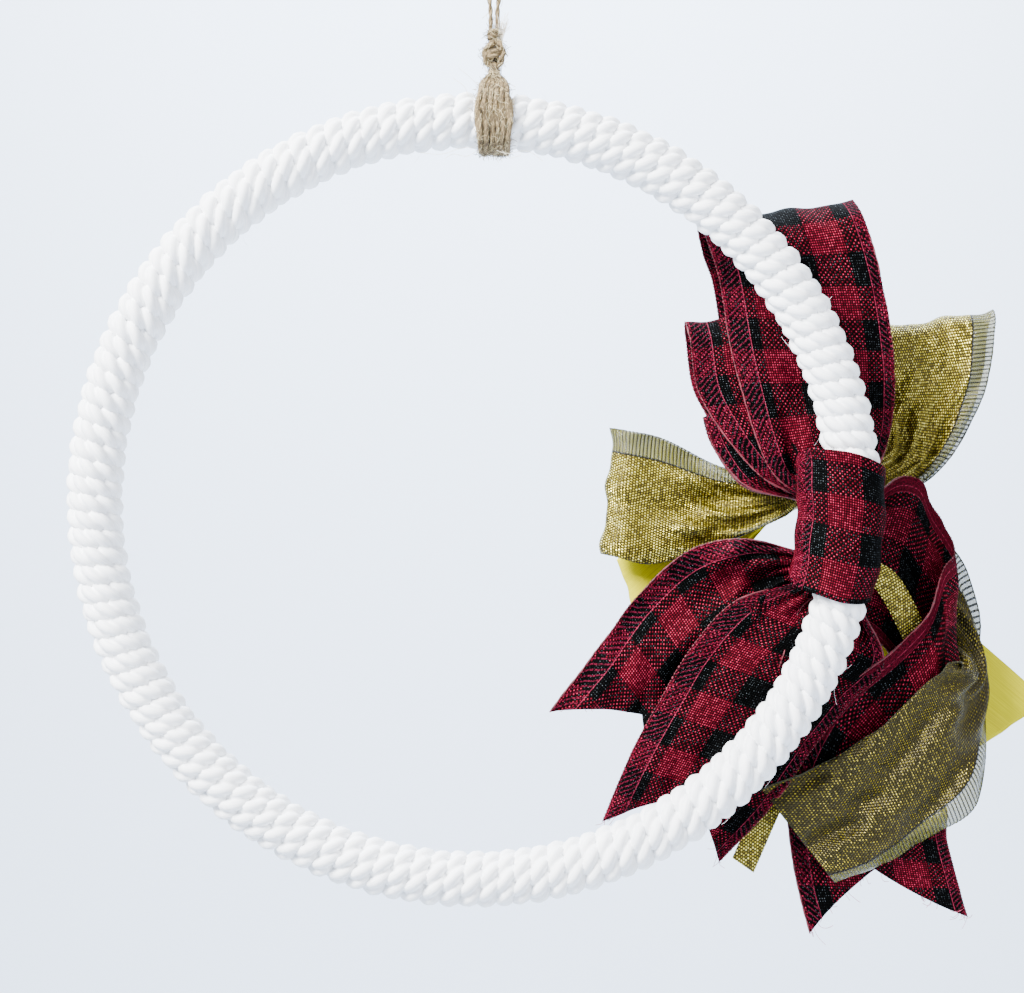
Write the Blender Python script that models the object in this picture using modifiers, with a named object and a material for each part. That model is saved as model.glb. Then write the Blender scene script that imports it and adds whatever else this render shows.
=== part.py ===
"""Door wreath: a cord-wrapped ring with a ribbon bow tied to its right side, on a jute hanger.

The wreath is seen from behind, as it hangs: the ring is nearest -Y and the bow's loops lie at +Y.
The origin is where the hanger's loop rests on its hook, X runs to the right and Z up. The ribbons
are strips swept through rungs. A rung is one crossing of the ribbon: where its middle lies from the
knot, which way it runs from its first edge to its second, and how much of its width is spread out.
"""

import math
from typing import NamedTuple

import bmesh
import bpy
import numpy as np
from mathutils import Matrix, Vector

MM = 0.001

# The ring and its place below the hook
RING_OUTER_DIAMETER = 304.9
RING_TUBE_DIAMETER = 21.3
HOOK_ABOVE_RING = 50.55
HOOK_RIGHT_OF_RING_CENTRE = 7.5
RING_STEPS = 72
RING_TUBE_STEPS = 12

# Ribbons
PLAID_WIDTH = 63.5
GOLD_WIDTH = 50.8
NARROW_GOLD_WIDTH = 10.0
SATIN_WIDTH = 38.1
RIBBON_THICKNESS = 0.5
NARROW_THICKNESS = 0.4
NOTCH_DEPTH = 22.0
GAP = 0.7

# The knot, where the ribbons pass one behind another through the tie band
KNOT_BELOW_RING_CENTRE = 10.5
KNOT_INSIDE_CENTRELINE = 3.4
KNOT_WIDTH = 17.0
PASS_HALF_HEIGHT = 8.0
FIRST_PASS_BEHIND_RING = 1.65

# The tie band
BAND_HEIGHT_FRONT = 55.0
BAND_HEIGHT_BACK = 12.0
BAND_SLACK_LEFT = 9.0
BAND_TILT = 13.0

# The hanger
TWINE_DIAMETER = 1.9
WRAP_WIDTH = 14.6
WRAP_THICKNESS = 1.8
WRAP_NECK_WIDTH = 5.0
NECK_ABOVE_RING = 8.0
LOWER_KNOT_SIZE = (8.8, 8.0, 9.4)
UPPER_KNOT_SIZE = (5.4, 5.0, 5.6)
TOUCHING_GAP = 0.3
LOOP_BEND_RADIUS = 4.4
LOOP_LEG_OFFSET = 1.25

# Mesh fineness
STRIP_STEP = 9.0
BAND_STEP = 4.0
NOTCHED_COLUMNS = 4
PLAIN_COLUMNS = 3
NARROW_COLUMNS = 2

# Whether a ribbon's first and last ends are cut to a notch
PLAIN_ENDS = (False, False)

RING_RADIUS = (RING_OUTER_DIAMETER - RING_TUBE_DIAMETER) / 2
TUBE_RADIUS = RING_TUBE_DIAMETER / 2
LEVEL_STEP = RIBBON_THICKNESS + GAP


class Rung(NamedTuple):
    """A crossing of a ribbon. x and z are from the knot, back is the depth behind the ring."""

    x: float
    back: float
    z: float
    lean: float = 0.0
    tilt: float = 0.0
    share: float = 1.0


class Via(NamedTuple):
    """A place on a loop, which both of its layers pass at their own depths behind the ring."""

    x: float
    z: float
    lean: float
    share: float
    near: float
    far: float


class Finish(NamedTuple):
    """What a piece is made of, as it looks."""

    hex_value: str
    roughness: float
    metallic: float = 0.0


CORD = Finish("#F1F3F6", 0.75)
PLAID = Finish("#7A1322", 0.8)
LAME = Finish("#A8923A", 0.4, 0.6)
SATIN = Finish("#E3D400", 0.35)
JUTE = Finish("#A78C62", 0.9)


def colour(hex_value):
    """A linear colour from an sRGB hex value."""
    channels = [int(hex_value[i : i + 2], 16) / 255 for i in (1, 3, 5)]
    return [c / 12.92 if c <= 0.04045 else ((c + 0.055) / 1.055) ** 2.4 for c in channels] + [1]


def material(name, finish):
    """A piece's own material, in its finish."""
    made = bpy.data.materials.new(name)
    made.use_nodes = True
    shader = made.node_tree.nodes["Principled BSDF"]
    shader.inputs["Base Color"].default_value = colour(finish.hex_value)
    shader.inputs["Roughness"].default_value = finish.roughness
    shader.inputs["Metallic"].default_value = finish.metallic
    return made


def ring_centre():
    return Vector((-HOOK_RIGHT_OF_RING_CENTRE, 0, -(RING_OUTER_DIAMETER / 2 + HOOK_ABOVE_RING)))


def knot_centre():
    """The middle of the bundle of ribbons, in X and Z, on the ring's centreline in Y."""
    right = math.sqrt(RING_RADIUS**2 - KNOT_BELOW_RING_CENTRE**2) - KNOT_INSIDE_CENTRELINE
    return ring_centre() + Vector((right, 0, -KNOT_BELOW_RING_CENTRE))


def level(number):
    """How far behind the ring the ribbon in that place of the bundle lies; 1 is next to the ring."""
    return FIRST_PASS_BEHIND_RING + (number - 1) * LEVEL_STEP


def passes(number, width, lean, upward=True):
    """The rungs of a ribbon's straight way through the knot."""
    share = min(1.0, KNOT_WIDTH / width)
    end, inner = PASS_HALF_HEIGHT, PASS_HALF_HEIGHT - 3
    heights = (-end, -inner, inner, end) if upward else (end, inner, -inner, -end)
    return [Rung(0, level(number), z, lean, 0, share) for z in heights]


def loop(vias, apex):
    """The rungs of a loop: out through vias at the near depths, over its fold, and back."""
    last = vias[-1]
    out = Vector((apex.x - last.x, apex.z - last.z)).normalized()
    radius = (apex.far - apex.near) / 2
    side = (apex.x - out.x * radius, apex.z - out.y * radius)
    near = [Rung(v.x, v.near, v.z, v.lean, 0, v.share) for v in vias]
    far = [Rung(v.x, v.far, v.z, v.lean, 0, v.share) for v in reversed(vias)]
    middle = (apex.near + apex.far) / 2
    fold = [
        Rung(side[0], apex.near, side[1], apex.lean, 0, apex.share),
        Rung(apex.x, middle, apex.z, apex.lean, 0, apex.share),
        Rung(side[0], apex.far, side[1], apex.lean, 0, apex.share),
    ]
    return near + fold + far


def long_plaid_rungs():
    """The longest loop, nearest the ring, and the tail that crosses behind the ring."""
    tail = [
        Rung(-67, 4.3, -120, 161, 0, 0.74),
        Rung(-51, 3.3, -96, 161, 0, 0.91),
        Rung(-38, 2.5, -75, 162, 0, 0.96),
        Rung(-28, 2.2, -55, 160, 0, 0.93),
        Rung(-16, 1.9, -38, 158, 0, 0.71),
        Rung(-4, 1.8, -22, 168, 0, 0.34),
    ]
    vias = [
        Via(-1, 14, 187, 0.42, 1.8, 10.3),
        Via(-3, 26, 192, 0.70, 2.2, 13.6),
        Via(-8, 60, 180, 0.95, 2.3, 22.4),
        Via(-14, 96, 181, 0.97, 2.6, 23.2),
    ]
    bow_loop = loop(vias, Via(-22, 122, 188, 0.95, 2.6, 23.4))
    return tail + passes(1, PLAID_WIDTH, 180) + bow_loop + passes(8, PLAID_WIDTH, 180, False)


def middle_plaid_rungs():
    """The middle loop, and the wide tail that runs out to the left."""
    tail = [
        Rung(-90, 7.3, -87, 140, -9, 0.82),
        Rung(-73, 8.8, -72, 128, -3, 0.95),
        Rung(-57, 7.8, -51, 124, -1, 0.98),
        Rung(-40, 6.3, -35, 119, 0, 0.96),
        Rung(-26, 4.6, -24, 112, 0, 0.66),
        Rung(-13, 3.5, -19, 98, 0, 0.31),
        Rung(-4, 3.0, -15, 140, 0, 0.27),
    ]
    vias = [
        Via(-3, 14, 187, 0.40, 3.1, 9.1),
        Via(-7, 23, 193, 0.66, 4.2, 11.1),
        Via(-20, 52, 185, 0.98, 6.0, 18.8),
    ]
    bow_loop = loop(vias, Via(-26, 84, 190, 0.98, 6.4, 19.4))
    return tail + passes(2, PLAID_WIDTH, 180) + bow_loop + passes(7, PLAID_WIDTH, 180, False)


def short_plaid_rungs():
    """The shortest loop, and the tail that folds over at the right and falls behind the gold one."""
    vias = [
        Via(-4, 14, 12, 0.42, 4.6, 7.9),
        Via(-10, 22, 16, 0.76, 5.9, 9.4),
        Via(-17, 36, 11, 0.92, 7.8, 12.4),
    ]
    bow_loop = loop(vias, Via(-21, 48, 11, 0.93, 8.0, 13.0))
    tail = [
        Rung(4, 7.8, -15, 45, 0, 0.27),
        Rung(10, 8.4, -18, 76, 0, 0.34),
        Rung(16, 9.6, -14, 74, 0, 0.78),
        Rung(24, 11.0, -15, 73, 0, 1.0),
        Rung(33, 12.6, -22, 79, 0, 1.0),
        Rung(42, 13.8, -32, 86, 0, 1.0),
        Rung(48, 10.0, -42, 91, -2, 1.0),
        Rung(43, 5.2, -47, 92, -2, 1.0),
        Rung(41, 6.2, -62, 100, -6, 0.96),
        Rung(35, 7.8, -75, 113, -10, 0.92),
        Rung(28, 8.6, -85, 130, -11, 0.95),
        Rung(20, 9.0, -95, 145, -8, 1.0),
        Rung(14, 9.6, -111, 163, -7, 1.0),
        Rung(17, 10.4, -134, 176, -5, 1.0),
        Rung(22, 10.9, -154, 185, -4, 0.98),
    ]
    knot = passes(3, PLAID_WIDTH, 0)
    return knot + bow_loop + passes(6, PLAID_WIDTH, 0, False) + tail


def left_gold_rungs():
    """The gold loop at the left, and the gold tail that curls forward over the short plaid tail."""
    tail = [
        Rung(-13, 2.3, -120, -52, 2, 1.0),
        Rung(6, 2.7, -113, -60, 4, 1.0),
        Rung(27, 4.2, -99, -64, 8, 1.0),
        Rung(44, 4.4, -83, -63, 7, 1.0),
        Rung(54, 13.0, -64, -47, 42, 0.82),
        Rung(57.3, 16.4, -57.5, -20, 56, 0.62),
        Rung(57, 20.5, -50, 20, 56, 0.58),
        Rung(51, 23.6, -36, 68, 20, 0.66),
        Rung(40, 21.2, -28, 73, 5, 0.92),
        Rung(27, 17.0, -20, 76, 1, 0.88),
        Rung(12, 12.6, -19, 58, 0, 0.38),
    ]
    vias = [
        Via(-7, 14, 50, 0.28, 12.5, 13.7),
        Via(-17, 11, 88, 0.27, 18.8, 21.8),
        Via(-43, 8, 86, 0.62, 24.6, 34.6),
        Via(-67, 10, 85, 0.98, 25.0, 36.2),
    ]
    bow_loop = loop(vias, Via(-86, 14, 85, 0.98, 25.0, 36.0))
    return tail + passes(9, GOLD_WIDTH, 0) + bow_loop + passes(10, GOLD_WIDTH, 0, False)


def right_gold_rungs():
    """The gold loop at the upper right."""
    vias = [
        Via(8, 14, -40, 0.31, 15.5, 17.0),
        Via(24, 19, -40, 0.36, 22.4, 26.4),
        Via(35, 27, -18, 0.46, 25.8, 32.5),
        Via(42, 51, 2, 0.82, 27.2, 36.8),
    ]
    bow_loop = loop(vias, Via(43, 82, 9, 0.99, 27.4, 37.4))
    return passes(11, GOLD_WIDTH, 0) + bow_loop + passes(12, GOLD_WIDTH, 0, False)


def narrow_gold_rungs():
    """The narrow gold ribbon, folded over the knot, with one end to each side."""
    fold = passes(4, NARROW_GOLD_WIDTH, 0)
    return [
        Rung(40, 7.9, -60, 24, 0, 1),
        Rung(31, 7.2, -41, 32, 0, 1),
        Rung(19, 6.4, -20, 31, 0, 1),
        Rung(7, 5.6, -13, 20, 0, 1),
        *fold,
        Rung(0, (level(4) + level(5)) / 2, PASS_HALF_HEIGHT + 4, 0, 0, 1),
        *passes(5, NARROW_GOLD_WIDTH, 0, False),
        Rung(-1, 7.0, -36, 0, 0, 1),
        Rung(-6, 7.6, -66, -9, 0, 1),
        Rung(-20, 8.6, -96, -23, 0, 1),
        Rung(-35, 7.6, -130, -35, 0, 1),
    ]


def satin_rungs():
    """The yellow satin ribbon, which makes the bow's outermost two loops and one tail."""
    tail = [
        Rung(77, 40.4, -81, 34, 0, 0.96),
        Rung(58, 38.5, -66, 42, 0, 1.0),
        Rung(38, 34.0, -48, 46, 0, 0.9),
        Rung(20, 22.0, -30, 52, 0, 0.55),
        Rung(7, 16.5, -16, 35, 0, 0.44),
    ]
    left = [
        Via(-6, 14, 45, 0.42, 20.6, 22.6),
        Via(-17, 15, 95, 0.40, 27.0, 31.0),
        Via(-31, 6, 110, 0.62, 35.0, 40.0),
        Via(-50, -10, 112, 0.95, 39.0, 46.0),
    ]
    right = [
        Via(5, -15, 45, 0.42, 18.2, 20.0),
        Via(13, -17, 88, 0.42, 23.0, 27.0),
        Via(26, -13, 92, 0.72, 34.4, 40.8),
    ]
    left_loop = loop(left, Via(-75, -32, 108, 1.0, 40.4, 50.0))
    right_loop = loop(right, Via(44, -12, 86, 0.98, 38.8, 47.6))
    return [
        *tail,
        *passes(13, SATIN_WIDTH, 0),
        *left_loop,
        *passes(14, SATIN_WIDTH, 0, False),
        *right_loop,
        *passes(15, SATIN_WIDTH, 0),
    ]


def rung_arrays(rungs, width):
    """The middles and the half widths of a ribbon's rungs, in metres, in the wreath's frame."""
    knot = knot_centre()
    rows = []
    for r in rungs:
        lean, tilt = math.radians(r.lean), math.radians(r.tilt)
        half = r.share * width / 2
        flat = math.cos(tilt)
        rows.append(
            [
                knot.x + r.x,
                TUBE_RADIUS + r.back,
                knot.z + r.z,
                half * flat * math.cos(lean),
                half * math.sin(tilt),
                half * flat * math.sin(lean),
            ]
        )
    return np.array(rows) * MM


def smooth_rows(rows, step, closed=False):
    """A smooth curve through the rows, which passes through each of them."""
    count = len(rows)
    if closed:
        rows = np.vstack([rows[-1:], rows, rows[:2]])
    else:
        rows = np.vstack([2 * rows[0] - rows[1], rows, 2 * rows[-1] - rows[-2]])
    chord = np.linalg.norm(np.diff(rows[:, :3], axis=0), axis=1)
    time = np.sqrt(np.maximum(chord, 1e-6))
    spans = count if closed else count - 1
    made = []
    for i in range(1, spans + 1):
        p, q = rows[i], rows[i + 1]
        before, here, after = time[i - 1], time[i], time[i + 1]
        rise = (q - p) / here
        start = (rise * before + (p - rows[i - 1]) / before * here) / (before + here) * here
        end = (rise * after + (rows[i + 2] - q) / after * here) / (after + here) * here
        parts = max(1, math.ceil(chord[i] / step))
        for j in range(parts):
            t = j / parts
            made.append(
                (2 * t**3 - 3 * t**2 + 1) * p
                + (t**3 - 2 * t**2 + t) * start
                + (3 * t**2 - 2 * t**3) * q
                + (t**3 - t**2) * end
            )
    if not closed:
        made.append(rows[-2])
    return np.array(made)


def notched(middles, ends_notched, columns):
    """For each row and column, how far along the ribbon it lies, in rows, with notched ends."""
    count = len(middles)
    along = np.concatenate([[0], np.cumsum(np.linalg.norm(np.diff(middles, axis=0), axis=1))])
    across = np.abs(np.linspace(-1, 1, columns + 1))
    depth = NOTCH_DEPTH * MM * (1 - across)
    reach = 2 * NOTCH_DEPTH * MM
    places = np.repeat(along[:, None], columns + 1, axis=1)
    if ends_notched[0]:
        places += depth * np.clip(1 - places / reach, 0, 1)
    if ends_notched[1]:
        places -= depth * np.clip(1 - (along[-1] - places) / reach, 0, 1)
    return np.interp(places, along, np.arange(count))


def along_ring(point):
    """A place beside the knot moved sideways, as far as the ring curves away from the knot there."""
    height = point.z / MM - ring_centre().z
    here = math.sqrt(max(RING_RADIUS**2 - height**2, 0))
    at_knot = math.sqrt(RING_RADIUS**2 - KNOT_BELOW_RING_CENTRE**2)
    return point + Vector(((here - at_knot) * MM, 0, 0))


def strip(name, rows, finish, thickness, columns, closed=False, notches=PLAIN_ENDS, bent=None):
    """A ribbon through the rows."""
    count = len(rows)
    places = notched(rows[:, :3], notches, columns)
    sheet = bmesh.new()
    bmesh.ops.create_grid(sheet, x_segments=count - 1, y_segments=columns, size=1)
    sheet.verts.ensure_lookup_table()
    ordered = sorted(sheet.verts, key=lambda v: (round(v.co.x, 5), round(v.co.y, 5)))
    for index, vert in enumerate(ordered):
        row, column = divmod(index, columns + 1)
        at = places[row, column]
        low = min(int(at), count - 2)
        here = rows[low] + (rows[low + 1] - rows[low]) * (at - low)
        side = 2 * column / columns - 1
        vert.co = Vector(here[:3] + here[3:] * side)
        if bent:
            vert.co = bent(vert.co)
    if closed:
        first, last = ordered[: columns + 1], ordered[-columns - 1 :]
        bmesh.ops.weld_verts(sheet, targetmap=dict(zip(last, first)))
    walled(name, sheet, finish, thickness)


def placed(name, data, finish):
    """An object in the wreath's collection, with its own material."""
    made = bpy.data.objects.new(name, data)
    bpy.data.collections["door_wreath"].objects.link(made)
    data.materials.append(material(name, finish))
    return made


def walled(name, sheet, finish, thickness):
    """An object from an open sheet, given its thickness by Solidify."""
    mesh = bpy.data.meshes.new(name)
    sheet.to_mesh(mesh)
    sheet.free()
    mesh.shade_smooth()
    wall = placed(name, mesh, finish).modifiers.new("wall", "SOLIDIFY")
    wall.thickness = thickness * MM
    wall.offset = 0


def ribbon(name, rungs, width, finish, columns, notches=PLAIN_ENDS):
    thickness = NARROW_THICKNESS if width == NARROW_GOLD_WIDTH else RIBBON_THICKNESS
    rows = smooth_rows(rung_arrays(rungs, width), STRIP_STEP * MM)
    strip(name, rows, finish, thickness, columns, notches=notches)


def build_ring():
    bpy.ops.mesh.primitive_torus_add(
        major_radius=RING_RADIUS * MM,
        minor_radius=TUBE_RADIUS * MM,
        major_segments=RING_STEPS,
        minor_segments=RING_TUBE_STEPS,
    )
    torus = bpy.context.object
    mesh = torus.data
    bpy.data.objects.remove(torus)
    mesh.transform(Matrix.Translation(ring_centre() * MM) @ Matrix.Rotation(math.pi / 2, 4, "X"))
    mesh.name = "ring_cord"
    mesh.shade_smooth()
    placed("ring_cord", mesh, CORD)


def build_band():
    """The tie band: close round the ring in front, slack at its left, narrow behind the bundle."""
    knot = knot_centre()
    ring_x = knot.x + KNOT_INSIDE_CENTRELINE
    wall = RIBBON_THICKNESS / 2 + GAP
    hug = TUBE_RADIUS + wall - 0.15
    bundle = KNOT_WIDTH / 2 + wall + 1.3 * GAP
    deepest = TUBE_RADIUS + level(15) + RIBBON_THICKNESS / 2 + wall + GAP
    start = TUBE_RADIUS + FIRST_PASS_BEHIND_RING
    front, back = BAND_HEIGHT_FRONT / 2, BAND_HEIGHT_BACK / 2
    middle = (start + deepest) / 2
    left = knot.x - bundle - 1.0
    stations = [
        (ring_x, -hug - 0.5, front),
        (ring_x + hug * 0.76, -hug * 0.76, front * 0.94),
        (ring_x + hug + 0.8, 0.0, front * 0.84),
        (ring_x + hug * 0.80, hug * 0.72, front * 0.55),
        (knot.x + bundle + 1.6, start + 1.0, back),
        (knot.x + bundle, middle, back),
        (knot.x + bundle, deepest - 2.2, back),
        (knot.x + bundle - 2.2, deepest, back),
        (knot.x - bundle + 2.2, deepest, back),
        (knot.x - bundle, deepest - 2.2, back),
        (knot.x - bundle, middle, back),
        (left, start, back),
        (ring_x - hug - BAND_SLACK_LEFT, start * 0.45, front * 0.72),
        (ring_x - hug - BAND_SLACK_LEFT * 0.8, -TUBE_RADIUS * 0.3, front * 0.92),
        (ring_x - hug * 0.85, -hug * 0.92, front * 0.98),
    ]
    rows = []
    for x, y, half in stations:
        slope = math.tan(math.radians(BAND_TILT)) * (half - back) / (front - back)
        rows.append([x, y, knot.z + slope * (ring_x - x), 0, 0, half])
    band_rows = smooth_rows(np.array(rows) * MM, BAND_STEP * MM, True)
    strip("tie_band", band_rows, PLAID, RIBBON_THICKNESS, NOTCHED_COLUMNS, True, bent=along_ring)


def build_wrap():
    """The jute turns round the ring, drawn together into a neck above it."""
    centre = ring_centre()
    drop = math.sqrt(RING_RADIUS**2 - HOOK_RIGHT_OF_RING_CENTRE**2)
    middle = centre.z + drop
    around = TUBE_RADIUS + WRAP_THICKNESS / 2 + 2 * TOUCHING_GAP + 0.3
    neck = middle + TUBE_RADIUS + NECK_ABOVE_RING
    stations = [
        (0.0, neck, WRAP_NECK_WIDTH),
        (1.7, neck - 1.2, WRAP_NECK_WIDTH),
        (4.2, neck - 4.2, WRAP_WIDTH * 0.62),
        (around * 0.86, middle + around * 0.62, WRAP_WIDTH * 0.94),
        (around, middle, WRAP_WIDTH),
        (around * 0.72, middle - around * 0.72, WRAP_WIDTH * 0.86),
    ]
    bottom = (0.0, middle - around, WRAP_WIDTH * 0.76)
    mirrored = [(-y, z, width) for y, z, width in reversed(stations[1:])]
    rows = [[0, y, z, width / 2, 0, 0] for y, z, width in [*stations, bottom, *mirrored]]
    wrap_rows = smooth_rows(np.array(rows) * MM, BAND_STEP * MM, True)
    strip("hanger_wrap", wrap_rows, JUTE, WRAP_THICKNESS, NARROW_COLUMNS, True)
    return neck + WRAP_THICKNESS / 2


def build_knot(name, centre, size):
    """One knot of the hanger, as an egg-shaped solid."""
    knot = bmesh.new()
    bmesh.ops.create_uvsphere(knot, u_segments=12, v_segments=8, radius=0.5)
    bmesh.ops.scale(knot, vec=Vector(size) * MM, verts=knot.verts)
    bmesh.ops.translate(knot, vec=Vector(centre) * MM, verts=knot.verts)
    mesh = bpy.data.meshes.new(name)
    knot.to_mesh(mesh)
    knot.free()
    mesh.shade_smooth()
    placed(name, mesh, JUTE)


def build_loop(bottom):
    """The twine's loop, from the upper knot over the hook and back to it."""
    top = TWINE_DIAMETER / 2
    bend = LOOP_BEND_RADIUS
    leg = LOOP_LEG_OFFSET
    half = [
        (leg, bottom),
        (leg, bottom * 0.86),
        (leg + (bend - leg) * 0.10, bottom * 0.66),
        (leg + (bend - leg) * 0.52, bottom * 0.45),
        (bend * 0.98, bottom * 0.26),
        (bend * 0.86, top - bend * 0.52),
        (bend * 0.5, top - bend * 0.14),
    ]
    outline = [(-x, z) for x, z in half] + [(0, top)] + [(x, z) for x, z in reversed(half)]
    rows = smooth_rows(np.array([[x, 0, z] for x, z in outline]) * MM, 4 * MM)
    curve = bpy.data.curves.new("hanger_loop", "CURVE")
    curve.dimensions = "3D"
    curve.bevel_depth = TWINE_DIAMETER / 2 * MM
    curve.bevel_resolution = 2
    curve.use_fill_caps = True
    line = curve.splines.new("POLY")
    line.points.add(len(rows) - 1)
    for point, row in zip(line.points, rows):
        point.co = (*row, 1)
    placed("hanger_loop", curve, JUTE)


def build_hanger():
    """The wrap, the two knots above it and the loop that goes over a hook."""
    neck_top = build_wrap()
    lower = neck_top + TOUCHING_GAP + LOWER_KNOT_SIZE[2] / 2
    build_knot("hanger_knot_lower", (0, 0, lower), LOWER_KNOT_SIZE)
    upper = lower + LOWER_KNOT_SIZE[2] / 2 + TOUCHING_GAP + UPPER_KNOT_SIZE[2] / 2
    build_knot("hanger_knot_upper", (0, 0, upper), UPPER_KNOT_SIZE)
    build_loop(upper + UPPER_KNOT_SIZE[2] / 2 + TOUCHING_GAP)


def build_ribbons():
    """The seven ribbons of the bow. Each notched end is the tail of a plaid one."""
    notched, plain = NOTCHED_COLUMNS, PLAIN_COLUMNS
    ribbon("plaid_ribbon_long", long_plaid_rungs(), PLAID_WIDTH, PLAID, notched, (True, False))
    ribbon("plaid_ribbon_middle", middle_plaid_rungs(), PLAID_WIDTH, PLAID, notched, (True, False))
    ribbon("plaid_ribbon_short", short_plaid_rungs(), PLAID_WIDTH, PLAID, notched, (False, True))
    ribbon("gold_ribbon_left", left_gold_rungs(), GOLD_WIDTH, LAME, plain)
    ribbon("gold_ribbon_right", right_gold_rungs(), GOLD_WIDTH, LAME, plain)
    ribbon("gold_ribbon_narrow", narrow_gold_rungs(), NARROW_GOLD_WIDTH, LAME, NARROW_COLUMNS)
    ribbon("satin_ribbon", satin_rungs(), SATIN_WIDTH, SATIN, plain)


def main():
    for old in list(bpy.data.objects):
        bpy.data.objects.remove(old)
    wreath = bpy.data.collections.new("door_wreath")
    bpy.context.scene.collection.children.link(wreath)
    build_ring()
    build_band()
    build_ribbons()
    build_hanger()


main()
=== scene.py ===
"""Dress the door wreath: cord-wound ring, plaid, gold and satin ribbons, and jute hanger.

X runs to the right, Z up, and Y away from the camera, through the ring to the bow. The origin is
where the hanging loop's top rests. Shapes are worked out in millimetres and made in metres.
"""

import logging
import math
import random
from dataclasses import dataclass
from enum import Enum
from typing import Any, NamedTuple, Sequence

import bmesh
import bpy
import numpy as np
from mathutils import Matrix, Vector


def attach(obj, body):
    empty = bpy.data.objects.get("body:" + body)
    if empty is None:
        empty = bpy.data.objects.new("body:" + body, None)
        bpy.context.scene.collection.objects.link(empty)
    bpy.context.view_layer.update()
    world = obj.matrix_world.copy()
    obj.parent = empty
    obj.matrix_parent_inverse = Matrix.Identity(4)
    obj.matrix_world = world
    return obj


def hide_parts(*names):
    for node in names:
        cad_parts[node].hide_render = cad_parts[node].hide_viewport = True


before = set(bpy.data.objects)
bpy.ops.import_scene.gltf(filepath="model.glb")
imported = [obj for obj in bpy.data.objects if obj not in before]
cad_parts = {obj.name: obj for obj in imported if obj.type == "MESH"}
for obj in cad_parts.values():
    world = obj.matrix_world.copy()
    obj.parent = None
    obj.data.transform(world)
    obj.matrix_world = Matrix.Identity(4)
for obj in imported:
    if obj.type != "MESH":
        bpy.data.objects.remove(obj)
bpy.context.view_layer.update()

log = logging.getLogger("door_wreath")

MM = 0.001
# The hoop and its wound tube, then the bow's knot and the ribbons' passes through it, in millimetres.
RING_CENTRE = np.array([-7.5, 0.0, -203.0])
RING_RADIUS = 141.8
TUBE_RADIUS = 10.65
KNOT_DROP = 10.5
KNOT = RING_CENTRE + np.array([138.01, 0.0, -KNOT_DROP])
PASS_HALF_HEIGHT = 8.0
KNOT_WIDTH = 17.0
FIRST_PASS = 1.65
LEVEL_STEP = 1.2
# A rung's pleat in the knot, where the ribbons are pressed together.
KNOT_PLEAT = 0.45
# How deep the gathers are, in millimetres, by how much of the ribbon's width is spread out.
SPREAD = (0.30, 0.45, 0.70, 0.90, 1.0)
FINE_GATHER = (1.3, 1.5, 0.35, 0.0, 0.0)
MIDDLE_GATHER = (0.8, 1.6, 1.7, 0.7, 0.3)
BROAD_GATHER = (0.5, 1.2, 2.6, 1.5, 0.9)

# The kinds of node that the finishes use, and the name of the map that they read.
MATH = "ShaderNodeMath"
MIX = "ShaderNodeMix"
RAMP = "ShaderNodeValToRGB"
NOISE = "ShaderNodeTexNoise"
UV = "ShaderNodeUVMap"
SPLIT = "ShaderNodeSeparateXYZ"
JOIN = "ShaderNodeCombineXYZ"
BUMP = "ShaderNodeBump"
WHITE = "ShaderNodeTexWhiteNoise"
CLOTH_MAP = "cloth"


class Edge(Enum):
    """How a ribbon's long edges are finished."""

    PLAIN = "plain"
    WIRED = "wired"
    SHEER = "sheer"


class Held(Enum):
    """How a sheet is held where it is tied."""

    GATHERED = "gathered"
    FOLDED = "folded"


class Slot(Enum):
    """The record's material slots."""

    CORD = "white_cord"
    PLAID = "plaid_cloth"
    GOLD = "gold_lame"
    SATIN = "yellow_satin"
    JUTE = "jute_twine"


class Rung(NamedTuple):
    """One crossing of a ribbon, in millimetres: x and z from the knot, back from behind the ring.

    lean is the way from the ribbon's first edge to its second, tilt how far that points backwards,
    share how much of the width is spread out, pleat how deep the gathers are, and curl how many
    degrees the second edge is turned backwards.
    """

    x: float
    back: float
    z: float
    lean: float = 0.0
    tilt: float = 0.0
    share: float = 1.0
    pleat: float = 1.0
    curl: float = 0.0


class Via(NamedTuple):
    """A place on a loop that both of its layers pass, each at its own depth behind the ring."""

    x: float
    z: float
    lean: float
    share: float
    near: float
    far: float


def linear(hex_value: str) -> tuple[float, float, float, float]:
    """Turn an sRGB hex value into a linear colour.

    Args:
        hex_value: the colour, such as "#A8152F".

    Returns:
        The red, green, blue and alpha values.
    """
    parts = [int(hex_value[i : i + 2], 16) / 255 for i in (1, 3, 5)]
    red, green, blue = [c / 12.92 if c <= 0.04045 else ((c + 0.055) / 1.055) ** 2.4 for c in parts]
    return (red, green, blue, 1.0)


def add(
    tree: bpy.types.NodeTree, kind: str, inputs: dict[Any, Any] | None = None, **settings: Any
) -> bpy.types.Node:
    """Add a node with its settings and links.

    Args:
        tree: the material's node tree.
        kind: the node's type.
        inputs: for each input, a value, a socket, or a node whose first output feeds it.
        **settings: the node's own properties. stops gives a colour ramp's positions and colours.

    Returns:
        The node.
    """
    node = tree.nodes.new(kind)
    stops = settings.pop("stops", None)
    for name, value in settings.items():
        setattr(node, name, value)
    if stops:
        ramp = node.color_ramp
        while len(ramp.elements) < len(stops):
            ramp.elements.new(1.0)
        for element, (place, hex_value) in zip(ramp.elements, stops):
            element.position = place
            element.color = linear(hex_value)
    for key, value in (inputs or {}).items():
        source = value.outputs[0] if isinstance(value, bpy.types.Node) else value
        if isinstance(source, bpy.types.NodeSocket):
            tree.links.new(source, node.inputs[key])
        else:
            node.inputs[key].default_value = source
    return node


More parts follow.
